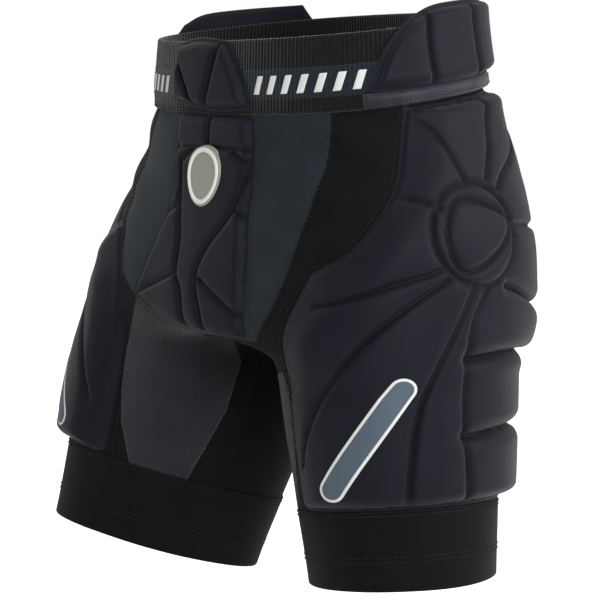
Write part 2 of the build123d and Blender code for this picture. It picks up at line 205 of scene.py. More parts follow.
@dataclass(frozen=True)
class Form:
    """The body inside the shorts, as a smooth field that is negative inside."""

    legs: tuple[LegShape, LegShape] = (
        LegShape(Side.LEFT, splay=12.5, flex=6, length=246),
        LegShape(Side.RIGHT, splay=2.5, flex=19, length=270, middle=(89, 104), hem=(76, 90)),
    )
    half_width: tuple = ((-345, 110), (-300, 160), (-240, 184), (-180, 182), (-120, 168),
                         (-65, 151), (0, 141), (40, 139))
    front_depth: tuple = ((-345, 80), (-300, 110), (-240, 128), (-180, 118), (-120, 108),
                    (-65, 104), (0, 103), (40, 102))
    back_depth: tuple = ((-345, 80), (-300, 110), (-240, 136), (-180, 136), (-120, 128),
                   (-65, 116), (0, 107), (40, 104))
    crotch: float = -250
    roundness: float = 2.3
    blend: float = 28

    def field(self, points: Array) -> Array:
        """Signed distance to the worn surface, about, in millimetres.

        Args:
            points: places, in millimetres.

        Returns:
            The field.
        """
        x, y, z = points[..., 0], points[..., 1], points[..., 2]
        wide = smooth_table(z, self.half_width)
        ahead, behind = smooth_table(z, self.front_depth), smooth_table(z, self.back_depth)
        deep = np.where(y < 0, ahead, behind)
        n = self.roundness
        oval = (np.abs(x / wide) ** n + np.abs(y / deep) ** n) ** (1 / n)
        hips = (oval - 1) * np.minimum(wide, (ahead + behind) / 2)
        hips = -smooth_least(-hips, z - self.crotch, 24)
        for leg in self.legs:
            hips = smooth_least(hips, leg.distance(points), self.blend)
        return hips

    def normals(self, points: Array) -> Array:
        """Outward direction of the field at each point.

        Args:
            points: places, in millimetres.

        Returns:
            Unit directions.
        """
        step = 0.5
        parts = []
        for axis in range(3):
            shift = np.zeros(3)
            shift[axis] = step
            parts.append(self.field(points + shift) - self.field(points - shift))
        way = np.stack(parts, -1)
        return way / np.maximum(np.linalg.norm(way, axis=-1, keepdims=True), 1e-9)

    def meet(self, origin: Array, way: Array, limit: Optional[Array] = None) -> Array:
        """Where rays that start inside leave the form, or their limit if that is nearer.

        Args:
            origin: where each ray starts.
            way: each ray's direction.
            limit: the longest each ray may be.

        Returns:
            Surface points.
        """
        shape = np.broadcast(origin[..., 0], way[..., 0]).shape
        near = np.full(shape, 2.0)
        far = np.full(shape, RAY_REACH) if limit is None else np.broadcast_to(limit, shape).copy()
        for _ in range(HALVINGS):
            middle = (near + far) / 2
            within = self.field(origin + way * middle[..., None]) < 0
            near = np.where(within, middle, near)
            far = np.where(within, far, middle)
        return origin + way * ((near + far) / 2)[..., None]

    def touch(self, origin: Array, way: Array) -> Array:
        """Where rays that start outside first meet the form.

        Args:
            origin: where each ray starts.
            way: each ray's direction.

        Returns:
            Surface points.
        """
        run = np.zeros(np.broadcast(origin[..., 0], way[..., 0]).shape)
        for _ in range(MARCH_STEPS):
            run = run + MARCH_SHARE * self.field(origin + way * run[..., None])
        return origin + way * run[..., None]

    def front(self, pairs: Array) -> Array:
        """Surface points seen from the front at (x, z).

        Args:
            pairs: the chart pairs.

        Returns:
            Surface points.
        """
        pairs = np.asarray(pairs, float)
        origin = np.stack([pairs[..., 0], 0 * pairs[..., 0] - 250, pairs[..., 1]], -1)
        return self.touch(origin, np.array([0.0, 1.0, 0.0]))

    def beside(self, side: Side, pairs: Array) -> Array:
        """Surface points seen from one side at (y, z).

        Args:
            side: which of the wearer's sides.
            pairs: the chart pairs.

        Returns:
            Surface points.
        """
        pairs = np.asarray(pairs, float)
        origin = np.stack([0 * pairs[..., 0] + side.value * 270, pairs[..., 0], pairs[..., 1]], -1)
        return self.touch(origin, np.array([-float(side.value), 0.0, 0.0]))

    def behind(self, pairs: Array) -> Array:
        """Surface points seen from behind at (x, z).

        Args:
            pairs: the chart pairs.

        Returns:
            Surface points.
        """
        pairs = np.asarray(pairs, float)
        origin = np.stack([pairs[..., 0], 0 * pairs[..., 0] + 250, pairs[..., 1]], -1)
        return self.touch(origin, np.array([0.0, -1.0, 0.0]))

    def leg(self, side: Side) -> LegShape:
        """The leg on one side."""
        return self.legs[0] if side is Side.LEFT else self.legs[1]

    def on_leg(self, side: Side, pairs: Array) -> Array:
        """Surface points at (share of the leg's length, degrees from outward to the front).

        Args:
            side: which of the wearer's sides.
            pairs: the chart pairs.

        Returns:
            Surface points.
        """
        pairs = np.asarray(pairs, float)
        leg = self.leg(side)
        return self.meet(*leg.rays(pairs[..., 1], pairs[..., 0] * leg.length))

    def axis_rays(self, side: Side, angle: Array, z: Array) -> tuple[Array, Array]:
        """Level rays from inside one side: 0 outward, -90 to the front, 90 behind.

        Args:
            side: which of the wearer's sides.
            angle: turn in degrees.
            z: height, mm.

        Returns:
            Origins and directions.
        """
        leg = self.legs[0] if side is Side.LEFT else self.legs[1]
        z = np.asarray(z, float)
        past = (leg.hip[2] - z) / -leg.down[2]
        centre = leg.hip + np.maximum(past, 0)[..., None] * leg.down
        rise = np.clip((z - leg.hip[2]) / -leg.hip[2], 0, 1)
        centre[..., 0] *= 1 - 0.25 * rise
        centre[..., 2] = z
        turn = np.radians(angle)
        way = np.stack([side.value * np.cos(turn), np.sin(turn), 0 * turn], -1)
        return centre, way

    def ring_rays(self, turn: Array, height: Array, slope: float = 0.0) -> tuple[Array, Array]:
        """Rays from the waist's centre line: 0 left, -90 front, 90 behind.

        Args:
            turn: turn in degrees.
            height: height, mm.
            slope: rise of a ray towards the back.

        Returns:
            Origins and directions.
        """
        angle = np.radians(turn)
        origin = np.stack([0 * angle, 0 * angle, np.asarray(height, float) + 0 * angle], -1)
        way = np.stack([np.cos(angle), np.sin(angle), slope * np.sin(angle)], -1)
        return origin, way


FORM = Form()
BAND_SLOPE = 0.12  # the band rises this much towards the back, mm a mm
SINK = 2.4  # a piece's edge dips this far under the knit and ends there, mm


# ---- curves and reliefs ------------------------------------------------------------------
def rounded_line(points: Sequence[tuple[float, float]], closed: bool = False,
                 steps: int = 14) -> Array:
    """Smooth curve through a few given points.

    Args:
        points: pairs in the units of a chart.
        closed: whether the curve returns to its start.
        steps: samples between two points.

    Returns:
        The samples, one pair a row.
    """
    base = np.array(points, float)
    if closed:
        padded = np.concatenate([base[-1:], base, base[:2]])
    else:
        padded = np.concatenate([2 * base[:1] - base[1:2], base, 2 * base[-1:] - base[-2:-1]])
    t = np.arange(steps)[:, None] / steps
    spans = []
    for i in range(1, len(padded) - 2):
        a, b, c, d = padded[i - 1:i + 3]
        spans.append(0.5 * (2 * b + (c - a) * t + (2 * a - 5 * b + 4 * c - d) * t**2
                            + (3 * b - a - 3 * c + d) * t**3))
    if not closed:
        spans.append(base[-1:])
    return np.concatenate(spans)


def cornered_line(points: Sequence[tuple[float, float]], steps: int = 14) -> Array:
    """Closed outline of straight runs between its points.

    Args:
        points: places, in millimetres.
        steps: samples between two points.

    Returns:
        The samples, one pair a row.
    """
    base = np.array(points, float)
    t = np.arange(steps)[:, None] / steps
    return np.concatenate([a + (b - a) * t for a, b in zip(base, np.roll(base, -1, axis=0))])


def nearness(points: Array, lines: Iterable[Array]) -> Array:
    """Distance from each point to the nearest of some sampled lines.

    Args:
        points: places, in millimetres.
        lines: sampled lines.

    Returns:
        A distance a point, mm.
    """
    flat = points.reshape(-1, 3)
    nearest = np.full(len(flat), 1e6)
    for line in lines:
        starts, runs = line[:-1], np.diff(line, axis=0)
        length2 = np.maximum((runs**2).sum(-1), 1e-9)
        for low in range(0, len(flat), 4000):
            part = flat[low:low + 4000, None] - starts[None]
            share = np.clip((part * runs[None]).sum(-1) / length2, 0, 1)
            gap = np.linalg.norm(part - runs[None] * share[..., None], axis=-1).min(1)
            nearest[low:low + 4000] = np.minimum(nearest[low:low + 4000], gap)
    return nearest.reshape(points.shape[:-1])


def inside(u: Array, v: Array, outline: Array) -> Array:
    """Whether each chart point lies inside a closed outline.

    Args:
        u: first chart value.
        v: second chart value.
        outline: closed outline in the chart.

    Returns:
        True inside.
    """
    result = np.zeros(np.shape(u), bool)
    for (ua, va), (ub, vb) in zip(outline, np.roll(outline, -1, axis=0)):
        crosses = (va > v) != (vb > v)
        if crosses.any():
            at = ua + (v - va) / ((vb - va) or 1e-9) * (ub - ua)
            result ^= crosses & (u < at)
    return result


def crown(gap: Array, shoulder: float) -> Array:
    """Rounded rise of a pad from 0 at its edge to 1 past its shoulder."""
    t = np.clip(gap / shoulder, 0, 1)
    return np.sqrt(np.maximum(1 - (1 - t) ** 2, 0))


def ripple(points: Array, size: float, seed: float) -> Array:
    """Slow uneven waves in the cloth, from -1 to 1, the same on every run.

    Args:
        points: places, in millimetres.
        size: size, mm or m.
        seed: number that sets the pattern.

    Returns:
        A value a point.
    """
    total = np.zeros(points.shape[:-1])
    for k in range(5):
        way = np.array([math.sin(seed + 2.1 * k), math.cos(1.7 * seed + k), math.sin(3.3 * k)])
        total += np.sin(points @ way * (1 + 0.37 * k) / size + seed * (k + 1))
    return total / 5


@dataclass
class Relief:
    """How far a padded cover stands off the body, from its seam and its channels."""

    outline: Array
    channels: list[Array]
    deep: list[Array] = field(default_factory=list)
    soft: list[Array] = field(default_factory=list)
    height: float = 12.0
    shoulder: float = 9.0
    taper: float = 32.0
    channel: float = 2.4
    flank: float = 5.0
    depth: float = 0.34
    margin: float = 4.0
    cloth: float = 1.2
    dome: float = 2.0

    def lift(self, points: Array, within: Array) -> Array:
        """Height over the base surface, below it outside the seam.

        Args:
            points: places, in millimetres.
            within: which points lie inside the seam.

        Returns:
            Height a point, mm.
        """
        rim = nearness(points, [np.concatenate([self.outline, self.outline[:1]])])
        edge = np.where(within, rim, -rim)
        flat = np.where(edge > 0, self.cloth * np.clip(edge / 1.2, 0, 1), np.clip(edge, -3, 0))
        foam = crown(edge - self.margin, self.shoulder)
        if self.soft:
            t = np.clip(nearness(points, self.soft) / self.taper, 0, 1)
            foam = np.minimum(foam, 0.16 + 0.84 * t * t * (3 - 2 * t))
        groove = nearness(points, self.channels or self.deep) - self.channel / 2
        foam = foam * (1 - self.depth * (1 - crown(groove, self.flank)))
        foam = foam + self.dome / self.height * foam * (1 - np.exp(-np.maximum(groove, 0) / 26))
        if self.deep:
            cut = nearness(points, self.deep) - self.channel / 2
            foam = foam * (1 - 0.82 * (1 - crown(cut, 11)))
        return flat + self.height * np.where(edge > self.margin, foam, 0)

    def groove(self, points: Array) -> Array:
        """Mask of the painted shade along the channels: 1 along a channel's bottom, 0 away from it.
        """
        gap = nearness(points, self.channels + self.deep)
        return np.clip(1 - (gap - 0.8) / 3, 0, 1)


# ---- meshes ------------------------------------------------------------------------------
def new_piece(name: str, points: Array, faces: Array, uv: Optional[Array] = None,
              marks: Optional[dict[str, Array]] = None) -> bpy.types.Object:
    """One mesh object in the shared frame.

    Args:
        name: the piece's name.
        points: vertices in millimetres.
        faces: rows of four vertex numbers.
        uv: one pair a vertex, in metres along the cloth.
        marks: named values a vertex, read by the finishes.

    Returns:
        The object, linked into the scene.
    """
    used, numbers = np.unique(faces, return_inverse=True)
    faces = numbers.reshape(faces.shape)
    mesh = bpy.data.meshes.new(name)
    mesh.from_pydata((points[used] * MM).tolist(), [], faces.tolist())
    mesh.polygons.foreach_set("use_smooth", np.ones(len(faces), bool))
    if uv is not None:
        layer = mesh.uv_layers.new(name="UVMap")
        layer.data.foreach_set("uv", uv[used][faces.ravel()].ravel().astype(np.float32))
    for key, values in (marks or {}).items():
        attribute = mesh.attributes.new(key, "FLOAT", "POINT")
        attribute.data.foreach_set("value", values[used].astype(np.float32))
    mesh.validate()
    piece = bpy.data.objects.new(name, mesh)
    bpy.context.scene.collection.objects.link(piece)
    return piece


def grid_faces(rows: int, columns: int, keep: Optional[Array] = None) -> Array:
    """Quads of a grid of vertices, without those that lose a corner.

    Args:
        rows: vertices down.
        columns: vertices across.
        keep: which vertices stay; all of them if not given.

    Returns:
        Rows of four vertex numbers.
    """
    number = np.arange(rows * columns).reshape(rows, columns)
    faces = np.stack([number[:-1, :-1], number[:-1, 1:], number[1:, 1:], number[1:, :-1]], -1)
    faces = faces.reshape(-1, 4)
    if keep is not None:
        faces = faces[keep.ravel()[faces].all(axis=1)]
    return faces


def faces_outward(points: Array, faces: Array, normals: Array) -> Array:
    """The same faces, wound so that they look the way of the normals.

    Args:
        points: places, in millimetres.
        faces: rows of vertex numbers.
        normals: outward direction at each vertex.

    Returns:
        The faces.
    """
    middle = faces[len(faces) // 2]
    a, b, c = points[middle[0]], points[middle[1]], points[middle[2]]
    if np.cross(b - a, c - a) @ normals[middle[0]] < 0:
        return faces[:, ::-1]
    return faces


def creases(points: Array) -> Array:
    """Small folds and puckers that every layer of the garment shares, in millimetres.

    Args:
        points: places, in millimetres.

    Returns:
        Height a point, mm.
    """
    x, y, z = points[..., 0], points[..., 1], points[..., 2]
    cloth = 0.35 * ripple(points, 17, 1.3)
    flank = np.exp(-((np.abs(x) - 122) / 26) ** 2) * np.exp(-((y + 70) / 30) ** 2)
    band = np.clip((-60 - z) / 12, 0, 1) * np.clip((z + 215) / 40, 0, 1)
    puckers = 1.9 * flank * band * np.sin(z / 5.2 + 0.05 * x + 2 * np.sin(z / 31))
    fork = np.exp(-((z + 250) / 22) ** 2) * np.exp(-((x - 10) / 75) ** 2) * (y < 0)
    tension = 1.3 * fork * np.sin((z + 0.35 * np.abs(x - 10)) / 4.6)
    return cloth + puckers + tension


@dataclass
class Lay:
    """A grid of points on the form, with what a piece needs to stand off it."""

    base: Array
    normals: Array
    uv: Array
    u: Array
    v: Array

    @classmethod
    def out(cls, rays: Rays, u: tuple[float, float],
            v: tuple[float, float], step: float = 1.8,
            limit: Optional[Callable[[Array, Array], Array]] = None) -> "Lay":
        """Lays a grid by rays.

        Args:
            rays: origin and direction for chart values u and v.
            u: first and last u.
            v: first and last v.
            step: spacing wanted on the surface, in millimetres.
            limit: the longest a ray may be.

        Returns:
            The laid grid.
        """
        def project(us: Array, vs: Array) -> Array:
            """Projects chart values on the form."""
            grid_u, grid_v = np.meshgrid(us, vs)
            origin, way = rays(grid_u, grid_v)
            reach = None if limit is None else limit(origin, way)
            return FORM.meet(origin, way, reach)

        trial = project(np.linspace(*u, 14), np.linspace(*v, 14))
        wide = np.linalg.norm(np.diff(trial, axis=1), axis=-1).sum(1).max()
        tall = np.linalg.norm(np.diff(trial, axis=0), axis=-1).sum(0).max()
        us = np.linspace(*u, max(int(wide / step), 4))
        vs = np.linspace(*v, max(int(tall / step), 4))
        base = project(us, vs)
        grid_u, grid_v = np.meshgrid(us, vs)
        uv = np.stack(np.meshgrid(np.linspace(0, wide, len(us)), np.linspace(0, tall, len(vs))), -1)
        return cls(base, FORM.normals(base), uv * MM, grid_u, grid_v)

    def raise_piece(self, name: str, lift: Array, marks: Optional[dict[str, Array]] = None,
                    keep: Optional[Array] = None) -> bpy.types.Object:
        """Makes the piece at a height over the form; what lies deep below it is left out.

        Args:
            name: the piece's name.
            lift: height of every grid point, in millimetres.
            marks: named values a point, read by the finishes.
            keep: which points stay, where not by their height.

        Returns:
            The object.
        """
        rows, columns = lift.shape
        points = (self.base + self.normals * (lift + creases(self.base))[..., None]).reshape(-1, 3)
        held = lift > -SINK if keep is None else keep
        faces = grid_faces(rows, columns, held)
        faces = faces_outward(points, faces, self.normals.reshape(-1, 3))
        flat = {key: value.ravel() for key, value in (marks or {}).items()}
        return new_piece(name, points, faces, self.uv.reshape(-1, 2), flat)


def coons(bottom: Array, right: Array, top: Array, left: Array, columns: int,
          rows: int) -> Array:
    """Fills four curves with a grid: bottom and top run the same way, so do left and right.

    Args:
        bottom: first curve.
        right: curve at the far side.
        top: curve facing the first.
        left: curve at the near side.
        columns: points across.
        rows: points down.

    Returns:
        The grid of points.
    """
    def even(curve: Array, count: int) -> Array:
        """Samples a curve evenly."""
        run = np.concatenate([[0], np.cumsum(np.linalg.norm(np.diff(curve, axis=0), axis=1))])
        at = np.linspace(0, run[-1], count)
        return np.stack([np.interp(at, run, curve[:, k]) for k in range(curve.shape[1])], -1)

    low, high = even(bottom, columns)[None], even(top, columns)[None]
    near, past = even(left, rows)[:, None], even(right, rows)[:, None]
    u = np.linspace(0, 1, columns)[None, :, None]
    v = np.linspace(0, 1, rows)[:, None, None]
    corners = ((1 - u) * (1 - v) * low[:, :1] + u * (1 - v) * low[:, -1:]
               + (1 - u) * v * high[:, :1] + u * v * high[:, -1:])
    return (1 - v) * low + v * high + (1 - u) * near + u * past - corners


def even_line(line: Array, step: float) -> Array:
    """Points of a line at an even spacing.

    Args:
        line: points along the line.
        step: spacing wanted, mm.

    Returns:
        The points.
    """
    run = np.concatenate([[0], np.cumsum(np.linalg.norm(np.diff(line, axis=0), axis=1))])
    at = np.linspace(0, run[-1], max(int(run[-1] / step), 2))
    return np.stack([np.interp(at, run, line[:, k]) for k in range(3)], -1)


def stitches(name: str, lines: Sequence[Array], height: Callable[[Array], Array] | float,
             rows: Sequence[float] = (-1.5, 1.5), length: float = 2.4, gap: float = 1.0,
             thick: float = 0.42) -> bpy.types.Object:
    """Rows of thread stitches that follow lines on the form.

    Args:
        name: the piece's name.
        lines: points of the form along each seam.
        height: how far the cloth stands off the form there.
        rows: distance of each row from the line.
        length: a stitch's length.
        gap: the space between two stitches.
        thick: a stitch's half thickness.

    Returns:
        The piece: one small eight-sided grain a stitch.
    """
    grains, faces = [], []
    for line in lines:
        spots = even_line(line, length + gap)
        tangent = np.gradient(spots, axis=0)
        tangent /= np.maximum(np.linalg.norm(tangent, axis=1, keepdims=True), 1e-6)
        normal = FORM.normals(spots)
        across = np.cross(normal, tangent)
        for row in rows:
            foot = spots + across * row
            lift = height(foot) if callable(height) else np.full(len(foot), height)
            centre = foot + normal * (lift + creases(foot) + 0.15)[:, None]
            count = sum(len(g) for g in grains)
            ends = [centre - tangent * length / 2 - normal * 0.3, centre + across * thick,
                    centre + normal * thick, centre - across * thick, centre - normal * thick,
                    centre + tangent * length / 2 - normal * 0.3]
            grains.append(np.stack(ends, 1).reshape(-1, 3))
            start = count + 6 * np.arange(len(spots))[:, None, None]
            shape = np.array([[0, 2, 1], [0, 3, 2], [0, 4, 3], [0, 1, 4],
                              [5, 1, 2], [5, 2, 3], [5, 3, 4], [5, 4, 1]])
            faces.append((start + shape[None]).reshape(-1, 3))
    return new_piece(name, np.concatenate(grains), np.concatenate(faces))


# ---- finishes ----------------------------------------------------------------------------
def linear(value: str) -> tuple[float, float, float, float]:
    """Linear colour of an sRGB hex value."""
    parts = [int(value[i:i + 2], 16) / 255 for i in (1, 3, 5)]
    return (*[p / 12.92 if p <= 0.04045 else ((p + 0.055) / 1.055) ** 2.4 for p in parts], 1.0)


class Graph:
    """A material's node tree under construction."""

    def __init__(self, name: str) -> None:
        """Starts a material with a Principled surface.

        Args:
            name: the piece's name.
        """
        self.material = bpy.data.materials.new(name)
        self.material.use_nodes = True
        self.tree = self.material.node_tree
        self.shader = self.tree.nodes["Principled BSDF"]

    def add(self, kind: str, inputs: Optional[dict] = None, **settings: object) -> bpy.types.Node:
        """Adds one node with its settings, and links or sets its inputs.

        Args:
            kind: the node's type.
            inputs: sockets or plain values by input.
            settings: the node's own settings.

        Returns:
            The node.
        """
        node = self.tree.nodes.new("ShaderNode" + kind)
        for key, value in settings.items():
            setattr(node, key, value)
        self.fill(node, inputs or {})
        return node

    def fill(self, node: bpy.types.Node, inputs: dict) -> None:
        """Links sockets to a node's inputs, and sets the plain values.

        Args:
            node: the node.
            inputs: sockets or plain values by input.
        """
        for key, value in inputs.items():
            if isinstance(value, bpy.types.NodeSocket):
                self.tree.links.new(value, node.inputs[key])
            else:
                node.inputs[key].default_value = value

    def maths(self, operation: str, a: object, b: object = 0.0) -> bpy.types.NodeSocket:
        """The result of one operation on two values."""
        return self.add("Math", {0: a, 1: b}, operation=operation).outputs[0]


@dataclass(frozen=True)
class Cloth:
    """A textile: its colours, the size of its texture and how it takes the light."""

    name: str
    dark: str
    lit: str
    pitch: tuple[float, float] = (1.6, 1.6)
    depth: float = 0.25
    roughness: float = 0.78
    sheen: float = 0.25
    mottle: float = 0.25
    # set for painted shade: the colour darkens to near black along the sewn channels, by the groove
    # mark
    painted_channel_shade: bool = False
    holes: float = 0.0
    gloss: float = 0.12

    def build(self) -> bpy.types.Material:
        """Makes the material: loops of thread by the cloth's own UV, a slow change of tone and,
        where set, painted shade along the pad's channels.
        """
        graph = Graph(self.name)
        where = graph.add("UVMap", uv_map="UVMap").outputs[0]
        apart = graph.add("SeparateXYZ", {0: where})
        waves = []
        for socket, pitch in zip(apart.outputs[:2], self.pitch):
            turn = graph.maths("MULTIPLY", socket, 2 * math.pi / (pitch * MM))
            waves.append(graph.maths("SINE", turn))
        if self.holes:
            weave = graph.maths("MULTIPLY", waves[0], waves[1])
        else:
            shift = graph.maths("MULTIPLY", waves[1], 0.5)
            weave = graph.maths("ADD", waves[0], shift)
        place = graph.add("TexCoord").outputs["Object"]
        tone = graph.add("TexNoise", {"Vector": place, "Scale": 38.0, "Detail": 4.0}).outputs[0]
        fuzz = graph.add("TexNoise", {"Vector": place, "Scale": 1500.0, "Detail": 2.0}).outputs[0]
        amount = graph.add("MapRange", {0: tone, 1: 0.3, 2: 0.7, 3: 0.5 - self.mottle,
                                        4: 0.5 + self.mottle}).outputs[0]
        amount = graph.maths("ADD", amount, graph.maths("MULTIPLY", weave, 0.12))
        colour = graph.add("Mix", {0: amount, 6: linear(self.dark), 7: linear(self.lit)},
                           data_type="RGBA").outputs[2]
        # Painted shade: the colour goes near black along the channels' bottoms, where shade falls,
        # by the groove mark.
        if self.painted_channel_shade:
            groove = graph.add("Attribute", attribute_name="groove").outputs["Fac"]
            colour = graph.add("Mix", {0: groove, 6: colour, 7: linear("#040406")},
                               data_type="RGBA").outputs[2]
        if self.holes:
            hole = graph.add("MapRange", {0: weave, 1: self.holes, 2: self.holes + 0.15}).outputs[0]
            colour = graph.add("Mix", {0: hole, 6: colour, 7: linear("#020203")},
                               data_type="RGBA").outputs[2]
        relief = graph.maths("ADD", weave, graph.maths("MULTIPLY", fuzz, 1.2))
        bump = graph.add("Bump", {"Height": relief, "Strength": self.depth,
                                  "Distance": 0.0006}).outputs[0]
        graph.fill(graph.shader, {"Base Color": colour, "Roughness": self.roughness,
                                  "Sheen Weight": self.sheen, "Sheen Roughness": 0.45,
                                  "Specular IOR Level": self.gloss,
                                  "Normal": bump, "IOR": 1.5})
        return graph.material


@dataclass(frozen=True)
class Rubber:
    """A moulded or printed rubber: soft gloss and a fine grain."""

    name: str
    colour: str
    roughness: float = 0.45
    grain: float = 0.15

    def build(self) -> bpy.types.Material:
        """Makes the material."""
        graph = Graph(self.name)
        place = graph.add("TexCoord").outputs["Object"]
        speck = graph.add("TexNoise", {"Vector": place, "Scale": 900.0, "Detail": 3.0}).outputs[0]
        base = linear(self.colour)
        worn = tuple(0.82 * part for part in base[:3]) + (1.0,)
        colour = graph.add("Mix", {0: speck, 6: worn, 7: base}, data_type="RGBA").outputs[2]
        bump = graph.add("Bump", {"Height": speck, "Strength": self.grain,
                                  "Distance": 0.0003}).outputs[0]
        graph.fill(graph.shader, {"Base Color": colour, "Roughness": self.roughness,
                                  "Normal": bump, "IOR": 1.5})
        return graph.material


# Warp-knitted polyester and elastane: matt, near black, fine wales.
BLACK_KNIT = Cloth("polyester_elastane_warp_knit", "#060607", "#0d0d0f", pitch=(1.1, 1.6),
                   depth=0.12, roughness=0.8, sheen=0.06)
# Brushed stretch knit: matt blue grey.
SLATE_KNIT = Cloth("slate_brushed_stretch_knit", "#181e22", "#252d33", pitch=(1.1, 1.6),
                   depth=0.12, roughness=0.8, sheen=0.12)
# Microfibre over moulded foam: a soft low sheen, with painted shade darkening it along its sewn
# channels.
PAD_COVER = Cloth("polyester_microfibre_pad_cover", "#0b0c14", "#141521", pitch=(1.3, 1.3),
                  depth=0.1, roughness=0.56, sheen=0.12, painted_channel_shade=True, gloss=0.14)
# Open mesh knit: grey with dark holes, drawn at 4.6 mm so that they show.
MESH_KNIT = Cloth("open_polyester_mesh_knit", "#222228", "#3a3a44", pitch=(4.6, 4.6),
                  depth=0.9, roughness=0.75, holes=0.1)
# Woven rubber-core elastic: deep matt ribs, drawn at 3 mm so that they show.
BAND_ELASTIC = Cloth("woven_rubber_core_elastic", "#060607", "#0d0d0f", pitch=(3.0, 1.6),
                     depth=0.55, roughness=0.7, sheen=0.3)
# Jacquard stripe in the same elastic: slate, with the same ribs.
BAND_STRIPE = Cloth("slate_jacquard_elastic", "#131a21", "#1d262f", pitch=(3.0, 1.6),
                    depth=0.5, roughness=0.7, sheen=0.3)
# Satin-woven nylon tape: the glossiest cloth here, it catches the light on its roll.
BINDING = Cloth("satin_weave_nylon_binding", "#1b1b22", "#3a3a44", pitch=(0.9, 2.6),
                depth=0.2, roughness=0.38, sheen=0.3, mottle=0.4)
# Satin label: off-white, smooth.
LABEL = Cloth("satin_label", "#c9c9c5", "#e4e4df", pitch=(0.9, 2.6), depth=0.1, roughness=0.5)
# Spun polyester thread: matt black.
THREAD = Rubber("spun_polyester_thread", "#101013", roughness=0.7)
# The same thread in dark grey, just visible on the black knit.
LIGHT_THREAD = Rubber("spun_polyester_thread_grey", "#1c1c20", roughness=0.7)
# Cast silicone: smooth, dark and slightly glossy.
SILICONE = Rubber("cast_silicone_gripper", "#3a3a3d", roughness=0.3)
# Moulded rubber plate: warm grey with a soft gloss.
BADGE_GREY = Rubber("moulded_tpr_badge_grey", "#9c9c91", roughness=0.5)
# Moulded rubber ring: ivory with a soft gloss.
BADGE_PALE = Rubber("moulded_tpr_badge_ivory", "#f2f1ea", roughness=0.5)
# Screen-printed plastisol: slate blue with a soft gloss.
PRINT_SLATE = Rubber("screen_printed_plastisol_slate", "#4a5866", roughness=0.5)
# The same print in off-white.
PRINT_WHITE = Rubber("screen_printed_plastisol_white", "#dfe0de", roughness=0.5)


class Wardrobe:
    """Every finish, made once, and the way that a piece gets one."""

    def __init__(self) -> None:
        """Starts with nothing made."""
        self.made: dict[str, bpy.types.Material] = {}

    def dress(self, piece: bpy.types.Object, finish: Cloth | Rubber, slot: str) -> None:
        """Gives a piece its finish.

        Args:
            piece: the object.
            finish: what it is made of.
            slot: not used.
        """
        if finish.name not in self.made:
            self.made[finish.name] = finish.build()
        piece.data.materials.clear()
        piece.data.materials.append(self.made[finish.name])


WARDROBE = Wardrobe()


def finish_piece(piece: bpy.types.Object, finish: Cloth | Rubber, slot: str, *nodes: str,
                 body: str = "shorts") -> bpy.types.Object:
    """Dresses a piece, puts it in place of its CAD nodes and lets it ride on its body.

    Args:
        piece: the object.
        finish: what it is made of.
        slot: the record's material slot.
        body: the body that it rides on.
        nodes: the CAD nodes that it stands for.

    Returns:
        The object.
    """
    WARDROBE.dress(piece, finish, slot)
    if nodes:
        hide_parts(*nodes)
    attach(piece, body)
    area = sum(face.area for face in piece.data.polygons)
    LOG.info("%s: %d faces, %.4f square metres", piece.name, len(piece.data.polygons), area)
    return piece


def settle(points: Array) -> Array:
    """Brings points that are near the form onto it.

    Args:
        points: places, in millimetres.

    Returns:
        The moved points.
    """
    for _ in range(5):
        points = points - FORM.normals(points) * FORM.field(points)[..., None]
    return points


